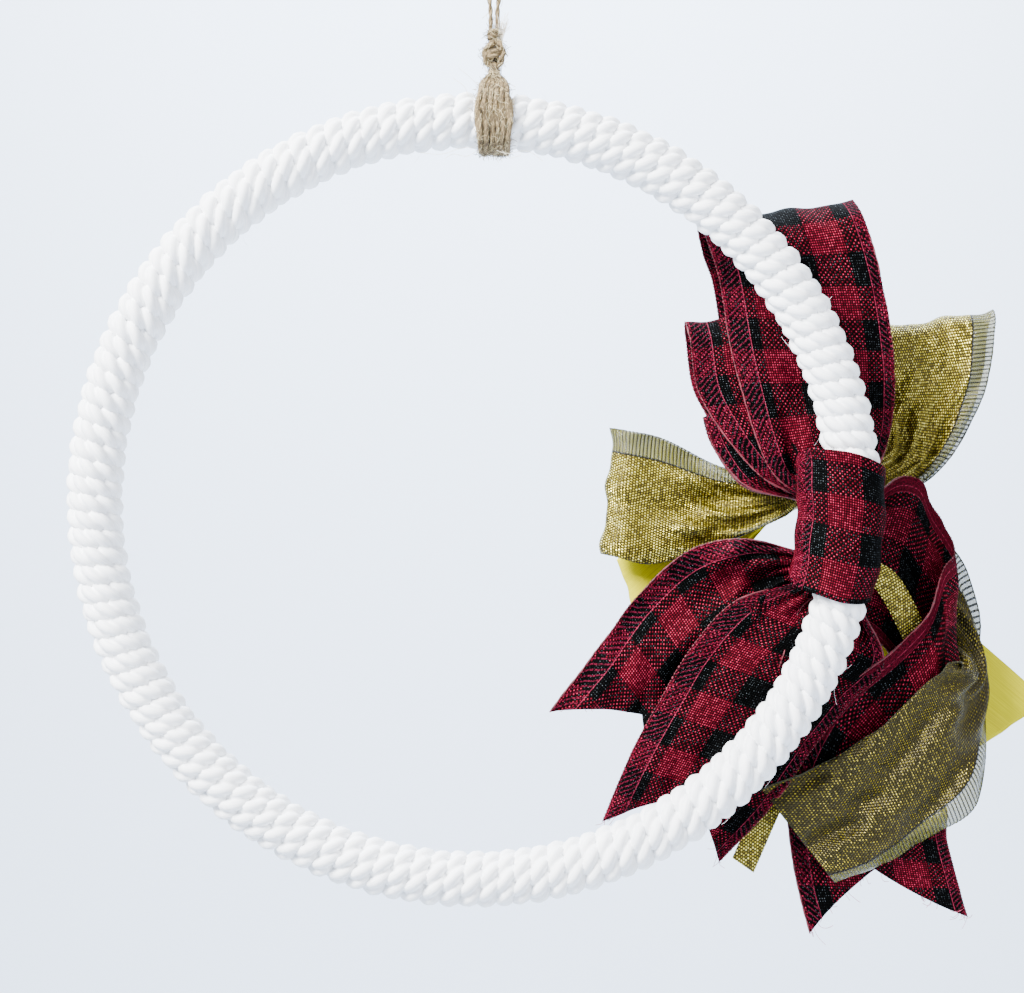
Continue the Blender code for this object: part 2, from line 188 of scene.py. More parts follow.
def start_material(name: str, **values: Any) -> tuple[bpy.types.Material, bpy.types.NodeTree, bpy.types.Node]:
    """Start a material whose shader has the given constant values.

    Args:
        name: the material's name.
        **values: the shader's values, named with _ for a space.

    Returns:
        The material, its node tree and its shader.
    """
    material = bpy.data.materials.new(name)
    material.use_nodes = True
    tree = material.node_tree
    shader = tree.nodes["Principled BSDF"]
    for key, value in values.items():
        shader.inputs[key.replace("_", " ")].default_value = value
    return material, tree, shader


@dataclass(frozen=True)
class SoftCord:
    """Bleached polyester and cotton cord, spun soft and plied: matt white with fine filaments.

    The filaments are drawn several times as thick as real ones, so that they show.
    """

    light: str = "#FFFFFF"
    shade: str = "#E9EDF2"
    filament: float = 0.00042
    run: float = 0.006
    slant: float = 0.55

    def material(self) -> bpy.types.Material:
        """Build the material from the plies' own map."""
        material, tree, shader = start_material("spun_white_cord", Roughness=0.6)
        place = add(tree, SPLIT, {0: add(tree, UV, uv_map=CLOTH_MAP)})
        along, across = place.outputs[0], place.outputs[1]
        leaning = add(tree, MATH, {0: along, 1: self.slant, 2: across}, operation="MULTIPLY_ADD")
        fine = add(tree, MATH, {0: leaning, 1: self.filament}, operation="DIVIDE")
        long = add(tree, MATH, {0: along, 1: self.run}, operation="DIVIDE")
        grain = add(tree, NOISE, {"Vector": add(tree, JOIN, {0: long, 1: fine}), "Scale": 1.0, "Detail": 2.0})
        tone = add(tree, RAMP, {0: grain}, stops=((0.30, self.shade), (0.62, self.light)))
        tree.links.new(tone.outputs[0], shader.inputs["Base Color"])
        bump = add(tree, BUMP, {"Height": grain, "Strength": 0.3, "Distance": 0.0002})
        tree.links.new(bump.outputs[0], shader.inputs["Normal"])
        return material


@dataclass(frozen=True)
class WovenPlaid:
    """Buffalo check in coarse plain weave of shiny spun yarns, crimson and black, over and under.

    Lengths are in metres. A wired hem is folded along each edge and carries slanting over-threads.
    stripes gives where the warp changes, and whether it is red from there on. rolled gives the
    stretch in which the hem is turned over. Each yarn is painted brighter on its crown, a painted
    highlight, as strongly as chance gives, between least_shine and least_shine + shine_range, and
    painted darker where it dives under, a painted shade.
    """

    name: str = "woven_plaid"
    width: float = 0.0635
    second_edge: float = 0.0635
    first_hem: float = 0.0042
    second_hem: float = 0.0082
    rolled: tuple[float, float] | None = None
    thread: float = 0.00094
    check: float = 0.0245
    stripes: tuple[tuple[float, bool], ...] = (
        (0.0, True),
        (0.0012, False),
        (0.0105, True),
        (0.0240, False),
        (0.0380, True),
        (0.0510, False),
        (0.0622, True),
    )
    # The crimson and black ramps run from painted shade, where a yarn dives under, to a painted highlight on
    # its crown.
    crimson: tuple[tuple[float, str], ...] = (
        (0.0, "#080102"),
        (0.30, "#400410"),
        (0.66, "#7A0A22"),
        (1.0, "#C24462"),
    )
    black: tuple[tuple[float, str], ...] = (
        (0.0, "#000000"),
        (0.55, "#020303"),
        (0.80, "#0A0C0E"),
        (1.0, "#555C60"),
    )
    over_thread: tuple[tuple[float, str], ...] = ((0.40, "#080103"), (0.62, "#5E1228"))
    seam_thread: tuple[tuple[float, str], ...] = ((0.35, "#360714"), (0.65, "#86283F"))
    lining: tuple[tuple[float, str], ...] = ((0.3, "#1C0208"), (0.7, "#4E0718"))
    over_pitch: float = 0.0023
    over_share: float = 0.34
    over_slope: float = 0.85
    over_drift: float = 0.9
    drift_scale: float = 160.0
    mottle_scale: float = 1300.0
    seam_half: float = 0.00016
    seam_inset: float = 0.0024
    least_shine: float = 0.5
    shine_range: float = 0.9

    def material(self) -> bpy.types.Material:
        """Build the material from the ribbon's flat map, in metres along and across it."""
        material, tree, shader = start_material(self.name, Roughness=0.6, Specular_IOR_Level=0.02)
        place = add(tree, SPLIT, {0: add(tree, UV, uv_map=CLOTH_MAP)})
        along, across = place.outputs[0], place.outputs[1]
        warp = add(tree, MATH, {0: across, 1: self.thread}, operation="DIVIDE")
        weft = add(tree, MATH, {0: along, 1: self.thread}, operation="DIVIDE")
        warp_number = add(tree, MATH, {0: warp}, operation="FLOOR")
        weft_number = add(tree, MATH, {0: weft}, operation="FLOOR")
        both = add(tree, MATH, {0: warp_number, 1: weft_number}, operation="ADD")
        warp_on_top = add(tree, MATH, {0: both, 1: 2.0}, operation="FLOORED_MODULO")
        share = add(tree, MATH, {0: across, 1: self.width}, operation="DIVIDE")
        stops = [(at / self.width, "#FFFFFF" if red else "#000000") for at, red in self.stripes]
        warp_red = add(tree, RAMP, {0: share}, stops=stops)
        warp_red.color_ramp.interpolation = "CONSTANT"
        band = add(tree, MATH, {0: along, 1: self.check}, operation="DIVIDE")
        cycle = add(tree, MATH, {0: band}, operation="FRACT")
        weft_red = add(tree, MATH, {0: cycle, 1: 0.5}, operation="LESS_THAN")
        top_red = add(tree, MIX, {0: warp_on_top, 2: weft_red, 3: warp_red})

        # Each yarn is painted darkest where it dives under its neighbour, a painted shade, and painted
        # brightest on its crown, a painted highlight of random strength.
        warp_round = add(tree, MATH, {0: warp, 1: 0.5}, operation="PINGPONG")
        weft_round = add(tree, MATH, {0: weft, 1: 0.5}, operation="PINGPONG")
        quarter = add(tree, MATH, {0: warp_round, 1: weft_round}, operation="MULTIPLY")
        crown = add(tree, MATH, {0: quarter, 1: 4.0}, operation="MULTIPLY")
        number = add(tree, JOIN, {0: warp_number, 1: weft_number})
        chance = add(tree, WHITE, {"Vector": number}, noise_dimensions="2D")
        reach = {0: chance.outputs[0], 1: self.shine_range, 2: self.least_shine}
        shine = add(tree, MATH, reach, operation="MULTIPLY_ADD")
        painted_crown_light = add(tree, MATH, {0: crown, 1: shine}, operation="MULTIPLY")
        red_tone = add(tree, RAMP, {0: painted_crown_light}, stops=self.crimson)
        black_tone = add(tree, RAMP, {0: painted_crown_light}, stops=self.black)
        cloth = add(tree, MIX, {0: top_red, "A": black_tone, "B": red_tone}, data_type="RGBA")

        # The folded hems carry slanting over-threads, up to a thin stitched line.
        from_first = add(tree, MATH, {0: across}, operation="ABSOLUTE")
        to_second = add(tree, MATH, {0: self.second_edge, 1: across}, operation="SUBTRACT")
        from_second = add(tree, MATH, {0: to_second}, operation="ABSOLUTE")
        past_first = add(tree, MATH, {0: from_first, 1: self.first_hem}, operation="SUBTRACT")
        past_second = add(tree, MATH, {0: from_second, 1: self.second_hem}, operation="SUBTRACT")
        past = add(tree, MATH, {0: past_first, 1: past_second}, operation="MINIMUM")
        in_hem = add(tree, MATH, {0: past, 1: 0.0}, operation="LESS_THAN")
        where = add(tree, JOIN, {0: along, 1: across})
        drift = add(tree, NOISE, {"Vector": where, "Scale": self.drift_scale, "Detail": 1.0})
        slant = add(tree, MATH, {0: past, 1: -self.over_slope, 2: along}, operation="MULTIPLY_ADD")
        turns = add(tree, MATH, {0: slant, 1: self.over_pitch}, operation="DIVIDE")
        loose = add(tree, MATH, {0: drift, 1: self.over_drift, 2: turns}, operation="MULTIPLY_ADD")
        stroke = add(tree, MATH, {0: loose}, operation="FRACT")
        stroke_on = add(tree, MATH, {0: stroke, 1: self.over_share}, operation="LESS_THAN")
        over = add(tree, MATH, {0: in_hem, 1: stroke_on}, operation="MULTIPLY")
        mottle = add(tree, NOISE, {"Vector": where, "Scale": self.mottle_scale, "Detail": 1.0})
        over_tone = add(tree, RAMP, {0: mottle}, stops=self.over_thread)
        hemmed = add(tree, MIX, {0: over, "A": cloth.outputs["Result"], "B": over_tone}, data_type="RGBA")
        beside = add(tree, MATH, {0: past}, operation="ABSOLUTE")
        near = add(tree, MATH, {0: beside, 1: self.seam_half}, operation="LESS_THAN")
        stitch = add(tree, RAMP, {0: mottle}, stops=self.seam_thread)
        stitched = add(tree, MIX, {0: near, "A": hemmed.outputs["Result"], "B": stitch}, data_type="RGBA")
        final = stitched.outputs["Result"]
        if self.rolled:
            # Where the hem is turned over, its plain crimson lining and one seam show.
            after = add(tree, MATH, {0: along, 1: self.rolled[0]}, operation="GREATER_THAN")
            before = add(tree, MATH, {0: along, 1: self.rolled[1]}, operation="LESS_THAN")
            within = add(tree, MATH, {0: after, 1: before}, operation="MULTIPLY")
            turned = add(tree, MATH, {0: within, 1: in_hem}, operation="MULTIPLY")
            lining = add(tree, RAMP, {0: mottle}, stops=self.lining)
            seam_at = add(tree, MATH, {0: past, 1: self.seam_inset}, operation="ADD")
            seam_off = add(tree, MATH, {0: seam_at}, operation="ABSOLUTE")
            seam = add(tree, MATH, {0: seam_off, 1: self.seam_half}, operation="LESS_THAN")
            sewn = add(tree, MIX, {0: seam, "A": lining, "B": stitch}, data_type="RGBA")
            rolled = add(tree, MIX, {0: turned, "A": final, "B": sewn.outputs["Result"]}, data_type="RGBA")
            final = rolled.outputs["Result"]
        tree.links.new(final, shader.inputs["Base Color"])

        raised = add(tree, MATH, {0: over, 1: 0.6, 2: crown}, operation="MULTIPLY_ADD")
        bump = add(tree, BUMP, {"Height": raised, "Strength": 0.8, "Distance": 0.0003})
        tree.links.new(bump.outputs[0], shader.inputs["Normal"])
        return material


@dataclass(frozen=True)
class GoldLame:
    """Flat metallised yarn woven in rows over dark thread, with a sheer border along one edge.

    Lengths are in metres. Each stitch is painted brightest on its crown, a painted glint, and darker
    towards its edges, a painted shade, as strongly as chance gives, between least_shine and
    least_shine + shine_range. Up to dull_shaded_until along it the cloth shows its back, which is
    darker by dulling_and_shade: partly the back's own duller colour, partly painted shade where it
    faces away from the light. The border is open gauze, whose threads and ribs hide a share of what
    lies behind.
    """

    name: str
    width: float
    sheer: float = 0.0092
    dull_shaded_until: float = -1.0
    row: float = 0.00112
    stitch: float = 0.00105
    # The tones run from painted shade between the stitches to the brightest painted glint.
    tones: tuple[tuple[float, str], ...] = (
        (0.0, "#080601"),
        (0.25, "#3A3207"),
        (0.5, "#908016"),
        (0.8, "#E4D03C"),
        (1.0, "#FFFAB0"),
    )
    line: str = "#100F06"
    gauze: str = "#6E6A1C"
    rib: str = "#1C1B0C"
    rib_gap: float = 0.0015
    rib_share: float = 0.36
    rib_cover: float = 0.34
    gauze_cover: float = 0.56
    cord_half: float = 0.00042
    metal: float = 0.7
    valley: float = 0.14
    least_shine: float = 0.34
    shine_range: float = 1.2
    dulling_and_shade: float = 0.56

    def material(self) -> bpy.types.Material:
        """Build the material from the ribbon's flat map."""
        material, tree, shader = start_material(self.name, Metallic=self.metal, Roughness=0.30)
        place = add(tree, SPLIT, {0: add(tree, UV, uv_map=CLOTH_MAP)})
        along, across = place.outputs[0], place.outputs[1]
        row = add(tree, MATH, {0: along, 1: self.row}, operation="DIVIDE")
        row_number = add(tree, MATH, {0: row}, operation="FLOOR")
        column = add(tree, MATH, {0: across, 1: self.stitch}, operation="DIVIDE")
        shifted = add(tree, MATH, {0: row_number, 1: 0.5, 2: column}, operation="MULTIPLY_ADD")
        column_number = add(tree, MATH, {0: shifted}, operation="FLOOR")
        number = add(tree, JOIN, {0: row_number, 1: column_number})
        chance = add(tree, WHITE, {"Vector": number}, noise_dimensions="2D")
        # Each stitch is painted brightest on its crown, a painted glint of random strength, and darker
        # towards its edges, a painted shade.
        row_round = add(tree, MATH, {0: row, 1: 0.5}, operation="PINGPONG")
        column_round = add(tree, MATH, {0: shifted, 1: 0.5}, operation="PINGPONG")
        quarter = add(tree, MATH, {0: row_round, 1: column_round}, operation="MULTIPLY")
        crown = add(tree, MATH, {0: quarter, 1: 4.0}, operation="MULTIPLY")
        reach = {0: chance.outputs[0], 1: self.shine_range, 2: self.least_shine}
        shine = add(tree, MATH, reach, operation="MULTIPLY_ADD")
        base = add(tree, MATH, {0: crown, 1: shine, 2: self.valley}, operation="MULTIPLY_ADD")
        # The first stretch along is darkened: partly the lamé's duller back, partly painted shade where it
        # faces away from the light.
        on_back = add(tree, MATH, {0: along, 1: self.dull_shaded_until}, operation="LESS_THAN")
        back_dim_and_shade = add(tree, MATH, {0: on_back, 1: -self.dulling_and_shade, 2: 1.0}, operation="MULTIPLY_ADD")
        painted_crown_light = add(tree, MATH, {0: base, 1: back_dim_and_shade}, operation="MULTIPLY")
        painted_glint = add(tree, RAMP, {0: painted_crown_light}, stops=self.tones)
        tilt = add(tree, MATH, {0: chance.outputs[0], 1: column_round}, operation="MULTIPLY")
        height = add(tree, MATH, {0: crown, 1: 0.6, 2: tilt}, operation="MULTIPLY_ADD")
        bump = add(tree, BUMP, {"Height": height, "Strength": 0.9, "Distance": 0.0004})
        tree.links.new(bump.outputs[0], shader.inputs["Normal"])
        if self.sheer <= 0:
            tree.links.new(painted_glint.outputs[0], shader.inputs["Base Color"])
            return material

        # The border is open gauze: fine dark ribs across it, and a dark cord beside the metal.
        to_edge = add(tree, MATH, {0: self.width, 1: across}, operation="SUBTRACT")
        in_border = add(tree, MATH, {0: to_edge, 1: self.sheer}, operation="LESS_THAN")
        beside = add(tree, MATH, {0: to_edge, 1: self.sheer}, operation="SUBTRACT")
        off_line = add(tree, MATH, {0: beside}, operation="ABSOLUTE")
        line = add(tree, MATH, {0: off_line, 1: self.cord_half}, operation="LESS_THAN")
        ribs = add(tree, MATH, {0: along, 1: self.rib_gap}, operation="DIVIDE")
        rib_at = add(tree, MATH, {0: ribs}, operation="FRACT")
        rib_on = add(tree, MATH, {0: rib_at, 1: self.rib_share}, operation="LESS_THAN")
        border = add(tree, MIX, {0: rib_on, "A": linear(self.gauze), "B": linear(self.rib)}, data_type="RGBA")
        colour = add(tree, MIX, {0: in_border, "A": painted_glint, "B": border.outputs["Result"]}, data_type="RGBA")
        with_line = {0: line, "A": colour.outputs["Result"], "B": linear(self.line)}
        lined = add(tree, MIX, with_line, data_type="RGBA")
        tree.links.new(lined.outputs["Result"], shader.inputs["Base Color"])
        hidden = {0: rib_on, 1: self.rib_cover, 2: self.gauze_cover}
        open_part = add(tree, MATH, hidden, operation="MULTIPLY_ADD")
        solid = add(tree, MATH, {0: 1.0, 1: in_border}, operation="SUBTRACT")
        cover = add(tree, MATH, {0: in_border, 1: open_part, 2: solid}, operation="MULTIPLY_ADD")
        tree.links.new(cover.outputs[0], shader.inputs["Alpha"])
        metal = add(tree, MATH, {0: solid, 1: self.metal}, operation="MULTIPLY")
        tree.links.new(metal.outputs[0], shader.inputs["Metallic"])
        return material


@dataclass(frozen=True)
class SatinWeave:
    """Polyester satin: long floating yarns that shine along the ribbon, in clear yellow.

    The yarns are drawn a few times as thick as real ones, so that they show. Their lighter and darker streaks
    along the ribbon are painted sheen.
    """

    light: str = "#C4BA00"
    shade: str = "#AEA400"
    yarn: float = 0.0003
    run: float = 0.02

    def material(self) -> bpy.types.Material:
        """Build the material from the ribbon's flat map."""
        material, tree, shader = start_material("polyester_satin", Roughness=0.42, Specular_IOR_Level=0.04)
        place = add(tree, SPLIT, {0: add(tree, UV, uv_map=CLOTH_MAP)})
        fine = add(tree, MATH, {0: place.outputs[1], 1: self.yarn}, operation="DIVIDE")
        long = add(tree, MATH, {0: place.outputs[0], 1: self.run}, operation="DIVIDE")
        grain = add(tree, NOISE, {"Vector": add(tree, JOIN, {0: long, 1: fine}), "Scale": 1.0, "Detail": 1.0})
        # The streaks from shade to light are painted sheen along the floating yarns.
        tone = add(tree, RAMP, {0: grain}, stops=((0.35, self.shade), (0.65, self.light)))
        tree.links.new(tone.outputs[0], shader.inputs["Base Color"])
        bump = add(tree, BUMP, {"Height": grain, "Strength": 0.1, "Distance": 0.0001})
        tree.links.new(bump.outputs[0], shader.inputs["Normal"])
        return material


@dataclass(frozen=True)
class JuteFibre:
    """Raw jute twine: coarse tan bast fibres, spun loosely, so streaked and hairy."""

    light: str = "#A8946A"
    body: str = "#6E5A3A"
    dark: str = "#2A1E12"
    fibre: float = 0.00028
    run: float = 0.0018

    def material(self) -> bpy.types.Material:
        """Build the material from the twine's own map."""
        material, tree, shader = start_material("spun_jute", Roughness=0.85)
        place = add(tree, SPLIT, {0: add(tree, UV, uv_map=CLOTH_MAP)})
        fine = add(tree, MATH, {0: place.outputs[1], 1: self.fibre}, operation="DIVIDE")
        long = add(tree, MATH, {0: place.outputs[0], 1: self.run}, operation="DIVIDE")
        grain = add(tree, NOISE, {"Vector": add(tree, JOIN, {0: long, 1: fine}), "Scale": 1.0, "Detail": 3.0})
        stops = ((0.38, self.dark), (0.5, self.body), (0.62, self.light))
        tone = add(tree, RAMP, {0: grain}, stops=stops)
        tree.links.new(tone.outputs[0], shader.inputs["Base Color"])
        bump = add(tree, BUMP, {"Height": grain, "Strength": 0.8, "Distance": 0.0004})
        tree.links.new(bump.outputs[0], shader.inputs["Normal"])
        return material


@dataclass(frozen=True)
class DyedThread:
    """Dyed yarn or a wired hem's cover: one colour, mottled by its twist."""

    name: str
    light: str
    dark: str
    metallic: float = 0.0
    mottle_scale: float = 1400.0

    def material(self) -> bpy.types.Material:
        """Build the material from object coordinates."""
        material, tree, shader = start_material(self.name, Roughness=0.6, Metallic=self.metallic)
        where = add(tree, "ShaderNodeTexCoord").outputs["Object"]
        mottle = add(tree, NOISE, {"Vector": where, "Scale": self.mottle_scale, "Detail": 2.0})
        tone = add(tree, RAMP, {0: mottle}, stops=((0.35, self.dark), (0.65, self.light)))
        tree.links.new(tone.outputs[0], shader.inputs["Base Color"])
        bump = add(tree, BUMP, {"Height": mottle, "Strength": 0.5, "Distance": 0.0003})
        tree.links.new(bump.outputs[0], shader.inputs["Normal"])
        return material


def smooth_rows(rows: np.ndarray, step: float, closed: bool = False) -> np.ndarray:
    """Run a smooth curve through rows whose first three values are a place.

    Args:
        rows: the values to pass through.
        step: the longest gap between the curve's points.
        closed: whether the curve ends where it starts.

    Returns:
        The curve's rows. A closed curve repeats its first row at its end.
    """
    count = len(rows)
    if closed:
        rows = np.vstack([rows[-1:], rows, rows[:2]])
    else:
        rows = np.vstack([2 * rows[0] - rows[1], rows, 2 * rows[-1] - rows[-2]])
    chord = np.linalg.norm(np.diff(rows[:, :3], axis=0), axis=1)
    time = np.sqrt(np.maximum(chord, 1e-9))
    made = []
    for i in range(1, count + 1 if closed else count):
        p, q = rows[i], rows[i + 1]
        before, here, after = time[i - 1], time[i], time[i + 1]
        rise = (q - p) / here
        start = (rise * before + (p - rows[i - 1]) / before * here) / (before + here) * here
        end = (rise * after + (rows[i + 2] - q) / after * here) / (after + here) * here
        parts = max(1, math.ceil(chord[i] / step))
        t = (np.arange(parts) / parts)[:, None]
        made.append(
            (2 * t**3 - 3 * t**2 + 1) * p
            + (t**3 - 2 * t**2 + t) * start
            + (3 * t**2 - 2 * t**3) * q
            + (t**3 - t**2) * end
        )
    made.append(rows[1:2] if closed else rows[-2:-1])
    return np.vstack(made)


def lengths_along(points: np.ndarray) -> np.ndarray:
    """Give each point's distance from the first, along the line through them."""
    return np.concatenate([[0.0], np.cumsum(np.linalg.norm(np.diff(points, axis=0), axis=1))])


def unit(vectors: np.ndarray) -> np.ndarray:
    """Give vectors a length of one."""
    return vectors / np.maximum(np.linalg.norm(vectors, axis=-1, keepdims=True), 1e-12)


def frames_along(path: np.ndarray) -> tuple[np.ndarray, np.ndarray]:
    """Carry a pair of axes along a path without needless turning.

    Args:
        path: the points.

    Returns:
        The two unit axes across the path at each point; their cross product points along it.
    """
    ahead = unit(np.gradient(path, axis=0))
    first = np.zeros_like(path)
    seed = np.array([0.0, 1.0, 0.0]) if abs(ahead[0][1]) < 0.9 else np.array([1.0, 0.0, 0.0])
    for i, way in enumerate(ahead):
        seed = seed - way * seed.dot(way)
        seed = seed / np.linalg.norm(seed)
        first[i] = seed
    return first, np.cross(ahead, first)


def grid_mesh(
    name: str, points: np.ndarray, layout: np.ndarray, tube: bool = False, joined: bool = False
) -> bpy.types.Mesh:
    """Lay a grid over points.

    Args:
        name: the mesh's name.
        points: places in metres, by row and column.
        layout: each point's place on the flat cloth, in metres along and across.
        tube: whether the last column meets the first, with faces outward and the ends filled.
        joined: whether the last row meets the first.

    Returns:
        The mesh, with the layout as its map.
    """
    rows, columns = points.shape[:2]
    sheet = bmesh.new()
    bmesh.ops.create_grid(sheet, x_segments=rows - 1, y_segments=columns - 1, size=1.0)
    mesh = bpy.data.meshes.new(name)
    sheet.to_mesh(mesh)
    sheet.free()
    flat = np.empty(len(mesh.vertices) * 3)
    mesh.vertices.foreach_get("co", flat)
    flat = flat.reshape(-1, 3)
    row = np.rint((flat[:, 0] + 1) / 2 * (rows - 1)).astype(int)
    column = np.rint((flat[:, 1] + 1) / 2 * (columns - 1)).astype(int)
    mesh.vertices.foreach_set("co", points[row, column].ravel())
    corner = np.empty(len(mesh.loops), dtype=np.int32)
    mesh.loops.foreach_get("vertex_index", corner)
    cloth = mesh.uv_layers.new(name=CLOTH_MAP)
    cloth.uv.foreach_set("vector", layout[row, column][corner].ravel())
    if tube or joined:
        seam = bmesh.new()
        seam.from_mesh(mesh)
        bmesh.ops.remove_doubles(seam, verts=seam.verts, dist=1e-7)
        if tube and not joined:
            rims = [e for e in seam.edges if e.is_boundary]
            bmesh.ops.holes_fill(seam, edges=rims, sides=0)
        if tube:
            bmesh.ops.recalc_face_normals(seam, faces=seam.faces)
        seam.to_mesh(mesh)
        seam.free()
    mesh.shade_smooth()
    mesh.update()
    return mesh


def show(
    mesh: bpy.types.ID, material: bpy.types.Material, node: str | None = None
) -> bpy.types.Object:
    """Put a finished piece in the scene, on the wreath's one body.

    Args:
        mesh: the piece's mesh or curve.
        material: its material.
        node: the CAD node that it stands for, if any.

    Returns:
        The piece.
    """
    piece = bpy.data.objects.new(mesh.name, mesh)
    bpy.context.scene.collection.objects.link(piece)
    mesh.materials.append(material)
    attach(piece, "root")
    if node:
        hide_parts(node)
    log.info("%s made", piece.name)
    return piece


def give_wall(piece: bpy.types.Object, thickness: float) -> None:
    """Give a sheet its wall, half to each side.

    Args:
        piece: the sheet.
        thickness: the wall, in millimetres.
    """
    wall = piece.modifiers.new("wall", "SOLIDIFY")
    wall.thickness = thickness * MM
    wall.offset = 0.0


def turn_round(first: np.ndarray, second: np.ndarray, angle: np.ndarray) -> np.ndarray:
    """Give the ways out from a path.

    Args:
        first: the first axis across the path at each point.
        second: the second axis there.
        angle: the angles from the first axis, by point and side.

    Returns:
        The unit ways, by point and side.
    """
    return first[:, None, :] * np.cos(angle)[..., None] + second[:, None, :] * np.sin(angle)[..., None]


def ply_outline(plies: int, radius: float, sides: int, inset: float = 0.38) -> np.ndarray:
    """Give the outline of round plies twisted together.

    Args:
        plies: how many there are.
        radius: the cord's radius over its plies.
        sides: how many points go round.
        inset: how far out the plies' own middles lie, as a share of the radius.

    Returns:
        The distance from the cord's middle at each point round it.
    """
    ply, offset = radius * (1 - inset), radius * inset
    step = 2 * math.pi / plies
    turn = np.arange(sides + 1) * 2 * math.pi / sides
    away = (turn + step / 2) % step - step / 2
    return offset * np.cos(away) + np.sqrt(np.maximum(ply**2 - (offset * np.sin(away)) ** 2, 0))


def twine_mesh(
    name: str, path: np.ndarray, radius: float, plies: int, lay: float, sides: int
) -> bpy.types.Mesh:
    """Make twisted twine along an open path.

    Args:
        name: the mesh's name.
        path: its centreline, in metres.
        radius: its radius, in metres.
        plies: how many plies are twisted together.
        lay: the length in which a ply goes once round.
        sides: how many points go round it.

    Returns:
        The mesh.
    """
    first, second = frames_along(path)
    along = lengths_along(path)
    outline = ply_outline(plies, radius, sides)
    turn = np.arange(sides + 1) * 2 * math.pi / sides
    angle = turn[None, :] + (2 * math.pi * along / lay)[:, None]
    points = path[:, None, :] + turn_round(first, second, angle) * outline[None, :, None]
    layout = np.stack(np.broadcast_arrays(along[:, None], (turn * radius)[None, :]), axis=-1)
    return grid_mesh(name, points, layout, tube=True)


def thread_curve(name: str, lines: Sequence[np.ndarray], radius: float) -> bpy.types.Curve:
    """Make loose threads as one curve.

    Args:
        name: the curve's name.
        lines: each thread's points, in metres.
        radius: the threads' radius.

    Returns:
        The curve, with its ends filled.
    """
    curve = bpy.data.curves.new(name, "CURVE")
    curve.dimensions = "3D"
    curve.bevel_depth = radius
    curve.bevel_resolution = 0
    curve.use_fill_caps = True
    for line in lines:
        spline = curve.splines.new("POLY")
        spline.points.add(len(line) - 1)
        spline.points.foreach_set("co", np.hstack([line, np.ones((len(line), 1))]).ravel())
    return curve


def wander(start: np.ndarray, way: np.ndarray, length: float, curl: float, draw: random.Random) -> np.ndarray:
    """Draw a loose fibre that strays from its way.

    Args:
        start: where it leaves.
        way: the direction it leaves in.
        length: its length, in metres.
        curl: how strongly it bends.
        draw: the source of chance.

    Returns:
        Its points.
    """
    points = [start]
    heading = unit(np.array(way))
    bend = np.array([draw.uniform(-1, 1) for _ in range(3)]) * curl
    for _ in range(6):
        heading = unit(heading + bend + np.array([draw.uniform(-1, 1) for _ in range(3)]) * curl * 0.5)
        points.append(points[-1] + heading * length / 6)
    return np.array(points)


def waves(theta: np.ndarray, parts: Sequence[tuple[float, int, float]]) -> np.ndarray:
    """Add up sine waves round the ring.

    Args:
        theta: the angles round it.
        parts: each wave's height, its number of waves round the ring, and its start in radians.

    Returns:
        Their sum at each angle.
    """
    return sum(height * np.sin(count * theta + start) for height, count, start in parts)


